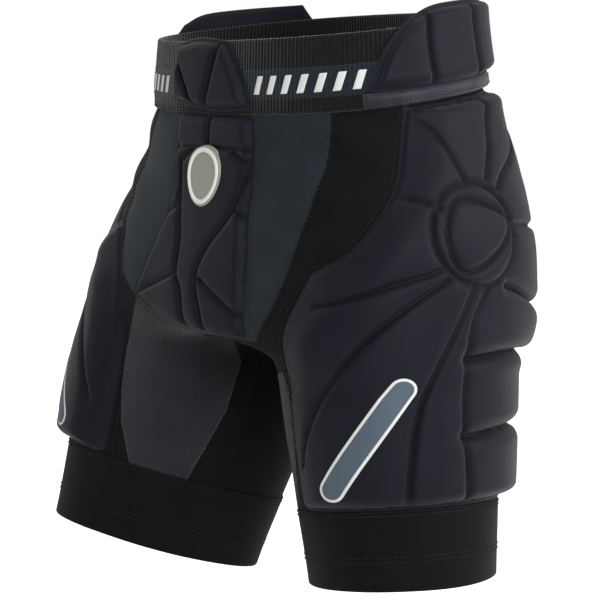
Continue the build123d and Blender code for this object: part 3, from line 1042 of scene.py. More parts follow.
# ---- the sub-assemblies ------------------------------------------------------------------
@dataclass
class KnitShell:
    """The stretch-knit tube that everything else is sewn to."""

    band_foot: float = -50
    fork: float = -246
    cuff_start: float = 0.76
    leg_top: float = 34

    def build(self) -> None:
        """Makes the hips, the gusset, the leg tubes and the turned cuffs."""
        hips = Lay.out(FORM.ring_rays, (-180, 180), (self.fork, self.band_foot), 2.1)
        edge = np.clip((hips.v - self.fork) / 3, 0, 1)
        piece = hips.raise_piece("pelvis_knit", 0.5 * edge)
        finish_piece(piece, BLACK_KNIT, "black_knit", "groin_lining", "left_side_lining",
                     "right_side_lining", "left_front_panel", "right_front_panel", "seat_panel")
        self.gusset()
        for side in Side:
            self.leg(side)

    def gusset(self) -> None:
        """The saddle between the legs."""
        def rays(turn: Array, y: Array) -> tuple[Array, Array]:
            """Rays down and outward from a line between the legs."""
            angle = np.radians(turn)
            origin = np.stack([0 * angle, y + 0 * angle, 0 * angle - 228], -1)
            return origin, np.stack([np.sin(angle), 0 * angle, -np.cos(angle)], -1)

        lay = Lay.out(rays, (-66, 66), (-100, 108), 2.0, lambda origin, way: 0 * way[..., 0] + 62)
        middle = (lay.v - 4) / 104
        reach = 1 - np.hypot(lay.u / 66, middle)
        origin = rays(lay.u, lay.v)[0]
        sound = (FORM.field(origin) < -3) & (np.linalg.norm(lay.base - origin, axis=-1) < 61)
        lift = np.where(sound, np.clip(reach * 30, -3, 0.9), -3)
        piece = lay.raise_piece("crotch_gusset_knit", lift)
        finish_piece(piece, BLACK_KNIT, "black_knit", "crotch_gusset")

    def leg(self, side: Side) -> None:
        """One leg's tube and cuff.

        Args:
            side: which of the wearer's sides.
        """
        shape = FORM.leg(side)
        word = side.word

        def wall(origin: Array, way: Array) -> Array:
            """Stops a ray at the middle plane."""
            across = way[..., 0] * side.value
            gap = origin[..., 0] * side.value
            return np.where(across < -0.05, np.minimum(gap / np.maximum(-across, 0.05), RAY_REACH),
                            RAY_REACH)

        low = self.cuff_start * shape.length
        lay = Lay.out(shape.rays, (-180, 180), (self.leg_top, low + 6), 2.0, wall)
        rise = np.clip((lay.v - self.leg_top) / 10, 0, 1)
        keep = (lay.base[..., 0] * side.value > 0.6)
        piece = lay.raise_piece(f"{word}_leg_knit", -1.6 * (1 - rise), keep=keep)
        finish_piece(piece, BLACK_KNIT, "black_knit", f"{word}_thigh_lining",
                     f"{word}_inner_panel", f"{word}_rear_thigh_panel")
        self.cuff(side, low)

    def cuff(self, side: Side, low: float) -> None:
        """The hem band: down the outside, round the fold and up inside.

        Args:
            side: which of the wearer's sides.
            low: where the cuff starts, mm down the leg.
        """
        shape = FORM.leg(side)
        end = shape.length
        rows = [(low, -0.6), (low + 1.5, 1.1)]
        rows += [(low + 2 + (end - low - 4) * k / 26, 1.1) for k in range(27)]
        rows += [(end - 0.9, 0.9), (end - 0.2, 0.3), (end, -0.5), (end - 0.4, -1.3),
                 (end - 2, -1.7)]
        rows += [(end - 2 - 22 * k / 8, -1.7) for k in range(1, 9)]
        turn = np.linspace(-180, 180, 271)
        drop = np.array(rows)
        grid_turn, grid_down = np.meshgrid(turn, drop[:, 0])
        sag = 2.5 * np.exp(-((grid_turn - 20) / 60) ** 2) * (grid_down - low) / (end - low)
        base = FORM.meet(*shape.rays(grid_turn, grid_down + sag))
        normal = FORM.normals(base)
        wave = creases(base) + 0.5 * np.sin(np.radians(grid_turn) * 5 + 1) * (
            (grid_down - low) / (end - low))
        points = base + normal * (drop[:, 1][:, None] + wave)[..., None]
        uv = np.stack([np.radians(grid_turn) * CUFF_RADIUS, np.cumsum(
            np.concatenate([[0], np.hypot(*np.diff(drop, axis=0).T)]))[:, None]
            + 0 * grid_turn], -1).reshape(-1, 2) * MM
        faces = faces_outward(points.reshape(-1, 3), grid_faces(*grid_turn.shape)[: 270 * 20],
                              normal.reshape(-1, 3))
        every = grid_faces(*grid_turn.shape)
        if not np.array_equal(faces[0], every[0]):
            every = every[:, ::-1]
        piece = new_piece(f"{side.word}_cuff_knit", points.reshape(-1, 3), every, uv)
        finish_piece(piece, BLACK_KNIT, "black_knit", f"{side.word}_cuff")
        self.gripper(side)

    def gripper(self, side: Side) -> None:
        """The silicone band inside the hem, in five fine waves.

        Args:
            side: which of the wearer's sides.
        """
        shape = FORM.leg(side)
        turn = np.linspace(-180, 180, 241)
        rows = np.linspace(0, 1, 31)
        grid_turn, share = np.meshgrid(turn, rows)
        down = shape.length - 4 - 17 * share
        base = FORM.meet(*shape.rays(grid_turn, down))
        lift = -2.1 - 0.45 * np.sin(share * math.pi * 10) ** 2
        points = base + FORM.normals(base) * (lift + creases(base))[..., None]
        faces = faces_outward(points.reshape(-1, 3), grid_faces(*grid_turn.shape),
                              -FORM.normals(base).reshape(-1, 3))
        piece = new_piece(f"{side.word}_gripper_band", points.reshape(-1, 3), faces)
        finish_piece(piece, SILICONE, "gripper_silicone", f"{side.word}_hem_gripper")


@dataclass
class FlatPanel:
    """A panel that lies flush on the shell, drawn by its outline in the waist's ring chart."""

    name: str
    edge: Array
    finish: Cloth
    slot: str
    nodes: tuple[str, ...]
    flat: tuple[float, float]
    lift: float = 1.0

    def build(self) -> None:
        """Makes the panel: flat inside its outline, dipping under the shell outside it."""
        turn = np.degrees(np.arctan2(self.edge[:, 1], self.edge[:, 0]))
        chart = np.stack([turn, self.edge[:, 2]], -1)
        lay = Lay.out(FORM.ring_rays, (turn.min() - 3, turn.max() + 3),
                      (chart[:, 1].min() - 4, chart[:, 1].max() + 4), 1.9)
        within = inside(lay.u, lay.v, chart)
        rim = nearness(lay.base, [np.concatenate([self.edge, self.edge[:1]])])
        gap = np.where(within, rim, -rim)
        piece = lay.raise_piece(self.name, np.clip(gap * 1.2 + 0.5, -3, self.lift))
        finish_piece(piece, self.finish, self.slot, *self.nodes)


GROIN = [(-36, -72), (-37, -111), (-34, -131), (-43, -156), (-62, -192), (-77, -225), (-38, -237),
         (1, -242), (44, -243), (72, -242), (70, -211), (66, -180), (61, -148), (61, -116),
         (56, -74)]
LEFT_SLATE = [(113, -60), (118, -98), (117, -135), (110, -176), (97, -212), (78, -243),
              (62, -243), (62, -211), (60, -180), (55, -148), (55, -116), (50, -60)]
RIGHT_SLATE = [(-74, -60), (-103, -100), (-118, -155), (-115, -183), (-104, -209), (-72, -228),
               (-56, -192), (-37, -156), (-28, -131), (-31, -111), (-30, -60)]


def slate_edge(points: list[tuple[float, float]], long_edge: int) -> Array:
    """A slate panel's outline: its outer edge as one curve, its inner edge as another."""
    return np.concatenate([rounded_line(points[:long_edge]), rounded_line(points[long_edge:]),
                           cornered_line([points[-1], points[0]], 8)[:8]])


@dataclass
class Pad:
    """A moulded foam pad under its cover, sewn down at its seam and along its channels."""

    name: str
    relief: Relief
    rays: Rays
    chart: Callable[[Array], Array]
    nodes: tuple[str, ...]
    fill: float = 0.8
    step: float = 1.7

    def lift(self, points: Array) -> Array:
        """Height of the cover at points of the form inside the seam."""
        return self.relief.lift(points, np.ones(points.shape[:-1], bool))

    def build(self) -> bpy.types.Object:
        """Makes the pad's cover."""
        outline = self.chart(self.relief.outline)
        low, high = outline.min(0), outline.max(0)
        lay = Lay.out(self.rays, (low[0] - 3, high[0] + 3), (low[1] - 4, high[1] + 4), self.step)
        within = inside(lay.u, lay.v, outline)
        lift = self.relief.lift(lay.base, within)
        # The groove mark carries painted shade along the channels into the pad cover's colour.
        groove = 0.6 * self.relief.groove(lay.base) * within
        piece = lay.raise_piece(self.name, lift, {"groove": groove})
        finish_piece(piece, PAD_COVER, "pad_cover", *self.nodes)
        return piece


def ring_chart(points: Array) -> Array:
    """Turn and height of points about the waist's centre line."""
    return np.stack([np.degrees(np.arctan2(points[:, 1], points[:, 0])), points[:, 2]], -1)


def rear_chart(points: Array) -> Array:
    """As ring_chart, for points behind, so that the turn doesn't jump."""
    return np.stack([np.degrees(np.arctan2(points[:, 1], points[:, 0])) % 360, points[:, 2]], -1)


def groin_pad() -> Pad:
    """The low panelled pad over the groin."""
    lines = [
        [(-45, -101), (10, -101), (70, -101)],
        [(10, -68), (10, -101)],
        [(56, -112), (47, -146), (22, -178), (14, -202), (28, -232), (34, -250)],
        [(-24, -112), (-20, -146), (-14, -173), (-13, -200), (-3, -214), (10, -248)],
        [(47, -146), (75, -164)], [(19, -202), (72, -228)],
        [(-20, -146), (-50, -160)], [(-14, -200), (-66, -221)],
        [(-24, -112), (-10, -103)], [(56, -112), (40, -103)],
    ]
    relief = Relief(FORM.front(cornered_line(GROIN, 8)),
                    [FORM.front(rounded_line(line, steps=8)) for line in lines],
                    height=6.6, shoulder=7, depth=0.6, margin=4, dome=1.4)
    return Pad("groin_pad", relief, FORM.ring_rays, ring_chart, ("groin_cover", "groin_foam"))


def side_pad(side: Side) -> Pad:
    """The tall pad from hip to thigh: radiating blocks round an oval hub.

    Args:
        side: which of the wearer's sides.

    Returns:
        The pad.
    """
    def beside(points: list, closed: bool = False, steps: int = 8) -> Array:
        """A smooth curve seen from the side."""
        return FORM.beside(side, rounded_line(points, closed, steps))

    def leg(points: list) -> Array:
        """A smooth curve on the leg."""
        return FORM.on_leg(side, rounded_line(points, steps=8))

    front = np.concatenate([
        beside([(-35, -64), (-36, -75), (-50, -113), (-62, -134), (-89, -170)]),
        leg([(0.06, 72), (0.14, 80), (0.23, 88), (0.42, 96), (0.6, 99), (0.75, 100)]),
    ])
    outline = np.concatenate([
        front,
        leg([(0.765, 95), (0.77, 60), (0.77, 20), (0.765, -20), (0.76, -60)]),
        leg([(0.7, -62), (0.4, -62), (0.12, -60)]),
        beside([(84, -200), (86, -150), (86, -100), (84, -56)]),
        beside([(78, -55), (25, -61), (-28, -67)]),
    ])
    lines = [
        beside([(-44, -64), (-33, -74), (-22, -86), (-14, -105), (-8, -125)]),
        beside([(24, -52), (39, -66), (35, -81), (29, -101), (15, -125)]),
        beside([(90, -76), (78, -82), (66, -106), (39, -121), (26, -132)]),
        beside([(-75, -128), (-53, -134), (-33, -144)]),
        beside([(-39, -183), (-72, -194), (-104, -210)]),
        beside([(33, -158), (60, -160), (90, -166)]),
        leg([(0.10, 19), (0.18, 36), (0.30, 56), (0.43, 71), (0.54, 81), (0.62, 87)]),
        leg([(0.115, 7), (0.23, 15), (0.38, 27), (0.5, 34), (0.68, 38), (0.78, 39)]),
        leg([(0.12, 0), (0.23, 8), (0.38, 11), (0.5, 12), (0.65, 10), (0.78, 9)]),
    ]
    ring = [(-5 + 38 * math.cos(a), -162 + 35 * math.sin(a))
            for a in np.linspace(0, 2 * math.pi, 17)[:-1]]
    lines.append(beside(ring, closed=True, steps=4))
    drop = [(-22, -140), (-3, -140), (27, -152), (20, -169), (-22, -186), (-33, -162)]
    lines.append(beside(drop, closed=True, steps=6))
    blocks = [leg([(0.115, -14), (0.14, -38), (0.17, -64)]),
              leg([(0.33, 10), (0.30, -30), (0.28, -64)]),
              leg([(0.56, 11), (0.54, -25), (0.52, -64)])]
    relief = Relief(outline, lines, blocks, [front[:-1]], height=11.6)

    def chart(points: Array) -> Array:
        """Turn and height about the side's axis."""
        centre, _ = FORM.axis_rays(side, 0 * points[:, 2], points[:, 2])
        away = points - centre
        return np.stack([np.degrees(np.arctan2(away[:, 1], side.value * away[:, 0])),
                         points[:, 2]], -1)

    word = side.word
    return Pad(f"{word}_side_pad", relief, lambda u, v: FORM.axis_rays(side, u, v), chart,
               (f"{word}_hip_cover", f"{word}_thigh_cover", f"{word}_hip_foam",
                f"{word}_thigh_foam", f"{word}_rear_thigh_foam", f"{word}_hub_pad"))


def seat_pad() -> Pad:
    """The pad over the seat and the tailbone."""
    low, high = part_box("seat_cover")
    wide = high.x / MM
    top, foot = high.z / MM, max(low.z / MM, -232)
    tall = top - foot
    shape = [(-0.55, 0), (0, -0.02), (0.55, 0), (0.95, -0.35), (1, -0.62), (0.8, -0.92),
             (0.3, -1), (0, -0.93), (-0.3, -1), (-0.8, -0.92), (-1, -0.62), (-0.95, -0.35)]
    outline = [(x * wide, top + z * tall) for x, z in shape]
    lines = [[(-0.24, 0), (-0.2, -0.5), (-0.1, -1)], [(0.24, 0), (0.2, -0.5), (0.1, -1)],
             [(0.21, -0.34), (0.6, -0.36), (1, -0.32)],
             [(-0.21, -0.34), (-0.6, -0.36), (-1, -0.32)],
             [(0.16, -0.68), (0.6, -0.66), (1, -0.7)], [(-0.16, -0.68), (-0.6, -0.66), (-1, -0.7)]]
    relief = Relief(FORM.behind(rounded_line(outline, closed=True, steps=8)), [], deep=[
                    FORM.behind(rounded_line([(x * wide, top + z * tall) for x, z in line],
                                              steps=10)) for line in lines],
                    height=10.5)
    return Pad("seat_pad", relief, FORM.ring_rays, rear_chart,
               ("seat_cover", "left_seat_foam", "right_seat_foam", "tailbone_foam"))


@dataclass
class Flap:
    """A padded flap sewn along its lower edge and free elsewhere."""

    name: str
    body: str
    base: Array
    channels: list[Array]
    nodes: tuple[str, ...]
    seam: tuple[Vector, Vector]
    stand: float = 4.9
    height: float = 6.6

    def build(self) -> None:
        """Makes the closed pillow of the flap."""
        rows, columns = self.base.shape[:2]
        border = np.concatenate([self.base[0], self.base[1:, -1], self.base[-1, -2::-1],
                                 self.base[-2:0:-1, 0]])
        relief = Relief(border, self.channels, height=self.height, shoulder=6, depth=0.75,
                        margin=3.5, dome=0.8, cloth=0.8)
        normals = FORM.normals(self.base)
        lift = self.stand + relief.lift(self.base, np.ones((rows, columns), bool))
        outer = self.base + normals * (lift + creases(self.base))[..., None]
        inner_lift = self.stand - 0.6 * np.clip(
            nearness(self.base, [np.concatenate([border, border[:1]])]) / 3, 0, 1)
        inner = self.base + normals * (inner_lift + creases(self.base))[..., None]
        points = np.concatenate([outer.reshape(-1, 3), inner.reshape(-1, 3)])
        faces = grid_faces(rows, columns)
        back = faces + rows * columns
        number = np.arange(rows * columns).reshape(rows, columns)
        rim = np.concatenate([number[0], number[1:, -1], number[-1, -2::-1], number[-2:0:-1, 0]])
        back_rim = rim + rows * columns
        swap = np.arange(2 * rows * columns)
        swap[back_rim] = rim
        faces = faces_outward(points, faces, np.tile(normals.reshape(-1, 3), (2, 1)))
        back = faces_outward(points, back, -np.tile(normals.reshape(-1, 3), (2, 1)))
        faces = np.concatenate([faces, swap[back]])
        # The groove mark carries painted shade along the channels, on the outer face only.
        groove = 0.6 * relief.groove(self.base).ravel()
        run = np.linspace(0, 0.12, columns)[None] + 0 * self.base[..., 0]
        climb = np.linspace(0, 0.06, rows)[:, None] + 0 * self.base[..., 0]
        uv = np.tile(np.stack([run, climb], -1).reshape(-1, 2), (2, 1))
        piece = new_piece(self.name, points, faces, uv,
                          {"groove": np.concatenate([groove, 0 * groove])})
        WARDROBE.dress(piece, PAD_COVER, "pad_cover")
        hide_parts(*self.nodes)
        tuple(self.seam[0])
        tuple(self.seam[1])
        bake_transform(piece)
        LOG.info("%s: %d faces", piece.name, len(piece.data.polygons))


def front_flap() -> Flap:
    """The short flap at the fly: a shield between two triangles."""
    def line(points: list) -> Array:
        """A smooth curve on the form."""
        return FORM.front(rounded_line(points, steps=10))

    base = coons(line([(-37, -66), (10, -72), (56, -71)]),
                 line([(56, -71), (47, -46), (31, -19)]),
                 line([(-29, -19), (0, -16), (31, -19)]),
                 line([(-37, -66), (-38, -44), (-29, -19)]), 90, 56)
    base = settle(base)
    channels = [line([(26, -18), (16, -44), (5, -74)]), line([(-36, -20), (-22, -46), (-6, -74)])]
    return Flap("front_flap_pad", "front_flap", base, channels,
                ("front_flap_cover", "front_flap_foam"),
                (Vector((0.01, -0.108, -0.071)), Vector((0.01, -0.108, -0.058))))


def hip_flap(side: Side) -> Flap:
    """The flap that stands over the waistband at one hip.

    Args:
        side: which of the wearer's sides.

    Returns:
        The flap.
    """
    def line(points: list) -> Array:
        """A smooth curve on the form."""
        pairs = rounded_line([(y, h + BAND_SLOPE * y) for y, h in points], steps=10)
        return FORM.beside(side, pairs)

    base = coons(line([(-56, -52), (14, -54), (84, -52)]),
                 line([(84, -52), (87, -22), (76, 7)]),
                 line([(-25, 0), (-4, 7), (30, 8), (76, 7)]),
                 line([(-56, -52), (-51, -38), (-42, -18), (-25, 0)]), 120, 56)
    base = settle(base)
    channels = [line([(-10, -56), (-13, -24), (-12, 9)]), line([(40, -56), (36, -24), (34, 11)])]
    word = side.word
    return Flap(f"{word}_hip_flap_pad", f"{word}_hip_flap", base, channels,
                (f"{word}_hip_flap_cover", f"{word}_hip_flap_foam"),
                (Vector((side.value * 0.1525, 0.025, -0.051)),
                 Vector((side.value * 0.1525, 0.025, -0.036))))


@dataclass
class Waist:
    """The elastic waistband with its stripes, the flap bindings and the care label."""

    top: float = -6
    foot: float = -62
    stand: float = 2.6
    stripe: tuple[float, float] = (-52, -28)

    def build(self) -> None:
        """Makes the band and what is sewn on it."""
        self.band()
        for side in Side:
            self.stripe_piece(side)
            self.binding(side)
        self.label()

    def outside(self, height: Array) -> Array:
        """How far the band stands out at a height: a little fuller in its middle."""
        share = (height - self.foot) / (self.top - self.foot)
        return self.stand + 0.5 * np.sin(np.clip(share, 0, 1) * math.pi)

    def band(self) -> None:
        """The folded elastic."""
        rows = [(self.foot, -0.6), (self.foot - 0.3, 0.9)]
        heights = np.linspace(self.foot + 0.8, self.top - 1.2, 30)
        rows += [(h, float(self.outside(h))) for h in heights]
        rows += [(self.top - 0.2, 1.9), (self.top, 0.9), (self.top - 0.4, -0.2)]
        rows += [(h, -0.6) for h in np.linspace(self.top - 2, self.foot, 14)]
        profile = np.array(rows)
        turn = np.linspace(-180, 180, 421)
        grid_turn, grid_h = np.meshgrid(turn, profile[:, 0])
        base = FORM.meet(*FORM.ring_rays(grid_turn, grid_h, BAND_SLOPE))
        normal = FORM.normals(base)
        gather = 0.12 * np.sin(np.radians(grid_turn) * 130) * (profile[:, 1][:, None] > 0.5)
        points = base + normal * (profile[:, 1][:, None] + creases(base) + gather)[..., None]
        run = np.cumsum(np.concatenate([[0], np.hypot(*np.diff(profile, axis=0).T)]))
        uv = np.stack([np.radians(grid_turn) * BAND_RADIUS, run[:, None] + 0 * grid_turn], -1) * MM
        faces = grid_faces(*grid_turn.shape)
        trial = faces_outward(points.reshape(-1, 3), faces[:420 * 20], normal.reshape(-1, 3))
        if not np.array_equal(trial[0], faces[0]):
            faces = faces[:, ::-1]
        piece = new_piece("elastic_waistband", points.reshape(-1, 3), faces, uv.reshape(-1, 2))
        finish_piece(piece, BAND_ELASTIC, "band_elastic", "waistband")

    def patch(self, name: str, turns: tuple[float, float], heights: tuple[float, float],
              lift: float, lean: float = 0.0, count: tuple[int, int] = (40, 12)
              ) -> tuple[Array, Array]:
        """Points and faces of a thin patch on the band's outside.

        Args:
            name: not used.
            turns: first and last turn, degrees.
            heights: first and last height, mm.
            lift: height over the surface, mm.
            lean: degrees of turn a millimetre of height.
            count: how many points.

        Returns:
            Points and faces.
        """
        turn, height = np.meshgrid(np.linspace(*turns, count[0]), np.linspace(*heights, count[1]))
        turn = turn + lean * (height - heights[0])
        base = FORM.meet(*FORM.ring_rays(turn, height, BAND_SLOPE))
        near = [np.minimum(np.arange(n), np.arange(n)[::-1]) for n in count]
        edge = np.minimum(near[0][None], near[1][:, None])
        rise = self.outside(height) + creases(base) + np.where(edge > 0, lift, -0.4)
        points = base + FORM.normals(base) * rise[..., None]
        flat = points.reshape(-1, 3)
        return flat, faces_outward(flat, grid_faces(count[1], count[0]),
                                   FORM.normals(base).reshape(-1, 3))

    def stripe_piece(self, side: Side) -> None:
        """The slate stripe at one side of the front, with plain slanted bars on it.

        Args:
            side: which of the wearer's sides.
        """
        turns = (-66, -18) if side is Side.LEFT else (-162, -114)
        points, faces = self.patch("stripe", turns, self.stripe, 0.35, count=(150, 20))
        turn, height = np.meshgrid(np.linspace(*turns, 150), np.linspace(*self.stripe, 20))
        uv = np.stack([np.radians(turn) * BAND_RADIUS, height], -1).reshape(-1, 2) * MM
        piece = new_piece(f"{side.word}_band_stripe", points, faces, uv)
        finish_piece(piece, BAND_STRIPE, "band_elastic")
        bars, shapes = [], []
        for k in range(7):
            start = turns[0] + 5 + 5.6 * k
            spots, sides = self.patch("bar", (start, start + 3.0), (-48, -33), 0.75, 0.13, (7, 14))
            shapes.append(sides + sum(len(b) for b in bars))
            bars.append(spots)
        piece = new_piece(f"{side.word}_band_bars", np.concatenate(bars), np.concatenate(shapes))
        finish_piece(piece, PRINT_WHITE, "print_rubber")

    def binding(self, side: Side) -> None:
        """The shiny tape over a hip flap's seam.

        Args:
            side: which of the wearer's sides.
        """
        profile = np.array([(-52.0, 4.2), (-51.8, 5.6), (-53, 6.3), (-56.5, 6.7), (-60, 6.2),
                            (-61.4, 5.2), (-61.6, 3.0), (-61.0, 0.6)])
        y = np.linspace(-60, 86, 110)
        grid_y, grid_h = np.meshgrid(y, profile[:, 0])
        base = FORM.beside(side, np.stack([grid_y, grid_h + BAND_SLOPE * grid_y], -1))
        normal = FORM.normals(base)
        end = np.clip(np.minimum(grid_y + 60, 86 - grid_y) / 3, 0, 1) ** 0.5
        lift = 0.4 + (profile[:, 1][:, None] - 0.4) * end + creases(base)
        points = (base + normal * lift[..., None]).reshape(-1, 3)
        faces = faces_outward(points, grid_faces(*grid_y.shape), normal.reshape(-1, 3))
        uv = np.stack([grid_y, grid_h], -1).reshape(-1, 2) * MM
        piece = new_piece(f"{side.word}_binding_tape", points, faces, uv)
        finish_piece(piece, BINDING, "binding_tape", f"{side.word}_flap_binding")

    def label(self) -> None:
        """The satin label inside the back of the waist."""
        low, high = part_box("care_label")
        x = np.linspace(low.x, high.x, 24) / MM
        z = np.linspace(low.z, high.z, 24) / MM
        grid_x, grid_z = np.meshgrid(x, z)
        base = FORM.behind(np.stack([grid_x, grid_z], -1))
        sway = -2.2 - 0.6 * np.clip((high.z / MM - grid_z) / 30, 0, 1)
        points = (base + FORM.normals(base) * sway[..., None]).reshape(-1, 3)
        faces = faces_outward(points, grid_faces(24, 24), -FORM.normals(base).reshape(-1, 3))
        uv = np.stack([grid_x, grid_z], -1).reshape(-1, 2) * MM
        piece = new_piece("satin_care_label", points, faces, uv)
        finish_piece(piece, LABEL, "label_satin", "care_label")


@dataclass
class Marks:
    """The plain badge and the plain thigh prints, which carry no lettering."""

    groin: Pad
    sides: dict[Side, Pad]

    def build(self) -> None:
        """Makes the badge and both prints."""
        self.badge()
        for side in Side:
            self.thigh_print(side)

    def disc(self, name: str, radii: Array, lift: float) -> bpy.types.Object:
        """An oval plate or ring on the groin pad.

        Args:
            name: the piece's name.
            radii: shares of the full radius.
            lift: height over the surface, mm.

        Returns:
            The object.
        """
        turn = np.linspace(0, 2 * math.pi, 73)
        grid_turn, grid_r = np.meshgrid(turn, radii)
        egg = 1 + 0.12 * np.sin(grid_turn)
        pairs = np.stack([11 + 20.5 * grid_r * egg * np.cos(grid_turn),
                          -123 + 24.5 * grid_r * np.sin(grid_turn)], -1)
        base = FORM.front(pairs)
        edge = np.minimum(grid_r - radii[0] + (1 if radii[0] < 0.01 else 0), radii[-1] - grid_r)
        rise = 9.0 + lift * np.sqrt(np.clip(edge / 0.05, 0, 1)) - 2.5 * (edge < 0.002)
        points = (base + FORM.normals(base) * rise[..., None]).reshape(-1, 3)
        faces = faces_outward(points, grid_faces(len(radii), 73), FORM.normals(base).reshape(-1, 3))
        return new_piece(name, points, faces)

    def badge(self) -> None:
        """A grey oval plate with a raised ivory ring."""
        plate = self.disc("badge_plate", np.concatenate([[0.002], np.linspace(0.1, 1, 20)]), 1.2)
        finish_piece(plate, BADGE_GREY, "badge_rubber", "centre_badge")
        ring = self.disc("badge_ring", np.linspace(0.74, 0.93, 16), 2.1)
        finish_piece(ring, BADGE_PALE, "badge_rubber")

    def bar(self, name: str, line: Array, radius: float, lift: float, pad: Pad) -> bpy.types.Object:
        """A bar with round ends that follows a line on a pad.

        Args:
            name: the piece's name.
            line: points along the line.
            radius: half width, mm.
            lift: height over the surface, mm.
            pad: the pad that it lies on.

        Returns:
            The object.
        """
        ends = np.linspace(0, len(line) - 1, 40).round().astype(int)
        tangent = np.gradient(line, axis=0)
        tangent /= np.linalg.norm(tangent, axis=1, keepdims=True)
        across = np.cross(FORM.normals(line), tangent)
        caps = np.linspace(0, math.pi, 14)
        spine, ways = [], []
        for index in ends:
            spine.append(line[index])
            ways.append(across[index])
        for a in caps[1:-1]:
            spine.append(line[-1])
            ways.append(across[-1] * math.cos(a) + tangent[-1] * math.sin(a))
        for index in ends[::-1]:
            spine.append(line[index])
            ways.append(-across[index])
        for a in caps[1:-1]:
            spine.append(line[0])
            ways.append(-across[0] * math.cos(a) - tangent[0] * math.sin(a))
        spine.append(spine[0])
        ways.append(ways[0])
        reach = np.linspace(0, radius, 9)[:, None, None]
        base = settle(np.array(spine)[None] + np.array(ways)[None] * reach)
        edge = np.linspace(radius, 0, 9)[:, None]
        rise = pad.lift(base) + creases(base) + np.where(edge > 0.01, lift, -0.3)
        points = (base + FORM.normals(base) * rise[..., None]).reshape(-1, 3)
        faces = grid_faces(9, len(spine))
        return new_piece(name, points, faces_outward(points, faces[::-1],
                                                     FORM.normals(base).reshape(-1, 3)))

    def thigh_print(self, side: Side) -> None:
        """A slanted bar with a white outline.

        Args:
            side: which of the wearer's sides.
        """
        word = side.word
        line = FORM.on_leg(side, rounded_line([(0.41, 39), (0.54, 53), (0.69, 70)], steps=30))
        outer = self.bar(f"{word}_print_outline", line, 9.5, 0.35, self.sides[side])
        finish_piece(outer, PRINT_WHITE, "print_rubber", f"{word}_thigh_print")
        inner = self.bar(f"{word}_print_fill", line, 7.6, 0.65, self.sides[side])
        finish_piece(inner, PRINT_SLATE, "print_rubber")


def stitch_all(groin: Pad, sides: dict[Side, Pad], seat: Pad) -> None:
    """Every row of thread on the garment.

    Args:
        groin: the groin pad.
        sides: the side pads.
        seat: the seat pad.
    """
    def closed(edge: Array) -> Array:
        """The edge with its start added."""
        return np.concatenate([edge, edge[:1]])

    def add(piece: bpy.types.Object, finish: Rubber, slot: str) -> None:
        """Finishes one piece of thread."""
        finish_piece(piece, finish, slot)

    add(stitches("groin_seam_thread", [closed(groin.relief.outline)], 1.2, (-2.6, 2.6)),
        LIGHT_THREAD, "black_knit")
    add(stitches("seat_seam_thread", [closed(seat.relief.outline)], 1.2, (-2.6, 2.6)),
        LIGHT_THREAD, "black_knit")
    for side in Side:
        word = side.word
        leg = FORM.leg(side)
        add(stitches(f"{word}_pad_seam_thread", [sides[side].relief.outline], 1.2, (-2.6, 2.6)),
            LIGHT_THREAD, "black_knit")
        slate = np.array((LEFT_SLATE if side is Side.LEFT else RIGHT_SLATE)[:6], float)
        add(stitches(f"{word}_slate_seam_thread", [FORM.front(rounded_line(slate))], 1.1,
                     (-2.2, 1.2)), LIGHT_THREAD, "slate_knit")
        turn = np.linspace(-180, 180, 200)
        hems = [FORM.on_leg(side, np.stack([0 * turn + share, turn], -1))
                for share in (1 - 20 / leg.length, 1 - 23.5 / leg.length)]
        add(stitches(f"{word}_hem_thread", hems, 1.3, (0,)), LIGHT_THREAD, "black_knit")
        start = leg.length * KnitShell.cuff_start + 4
        ring = FORM.on_leg(side, np.stack([0 * turn + start / leg.length, turn], -1))
        add(stitches(f"{word}_cuff_seam_thread", [ring], 1.3, (-1.4, 1.4)), LIGHT_THREAD,
            "black_knit")
        inseam = FORM.on_leg(side, rounded_line([(0.36, 168), (0.6, 170), (0.97, 172)]))
        add(stitches(f"{word}_inseam_thread", [inseam], 0.7, (-1.6, 1.6)), LIGHT_THREAD,
            "black_knit")
        tape = FORM.beside(side, rounded_line([(y, -56.5 + BAND_SLOPE * y)
                                               for y in (-57, -20, 30, 83)]))
        add(stitches(f"{word}_binding_thread", [tape], 6.4, (-3.0, 3.0)), LIGHT_THREAD,
            "binding_tape")
        crease = FORM.on_leg(side, rounded_line([(0.16, 88), (0.25, 97), (0.42, 102), (0.75, 105)]))
        add(stitches(f"{word}_front_seam_thread", [crease], 0.7, (0,)), LIGHT_THREAD, "black_knit")
    fly = FORM.front(rounded_line([(-36, -69), (10, -75), (55, -74)]))
    add(stitches("fly_seam_thread", [fly], 3.4, (-1.5, 1.5)), LIGHT_THREAD, "pad_cover")
    turn = np.linspace(-180, 180, 240)
    ring = FORM.meet(*FORM.ring_rays(turn, 0 * turn - 59.5, BAND_SLOPE))
    add(stitches("waist_seam_thread", [ring], 2.9, (-1.2, 1.2), thick=0.35), THREAD, "band_elastic")


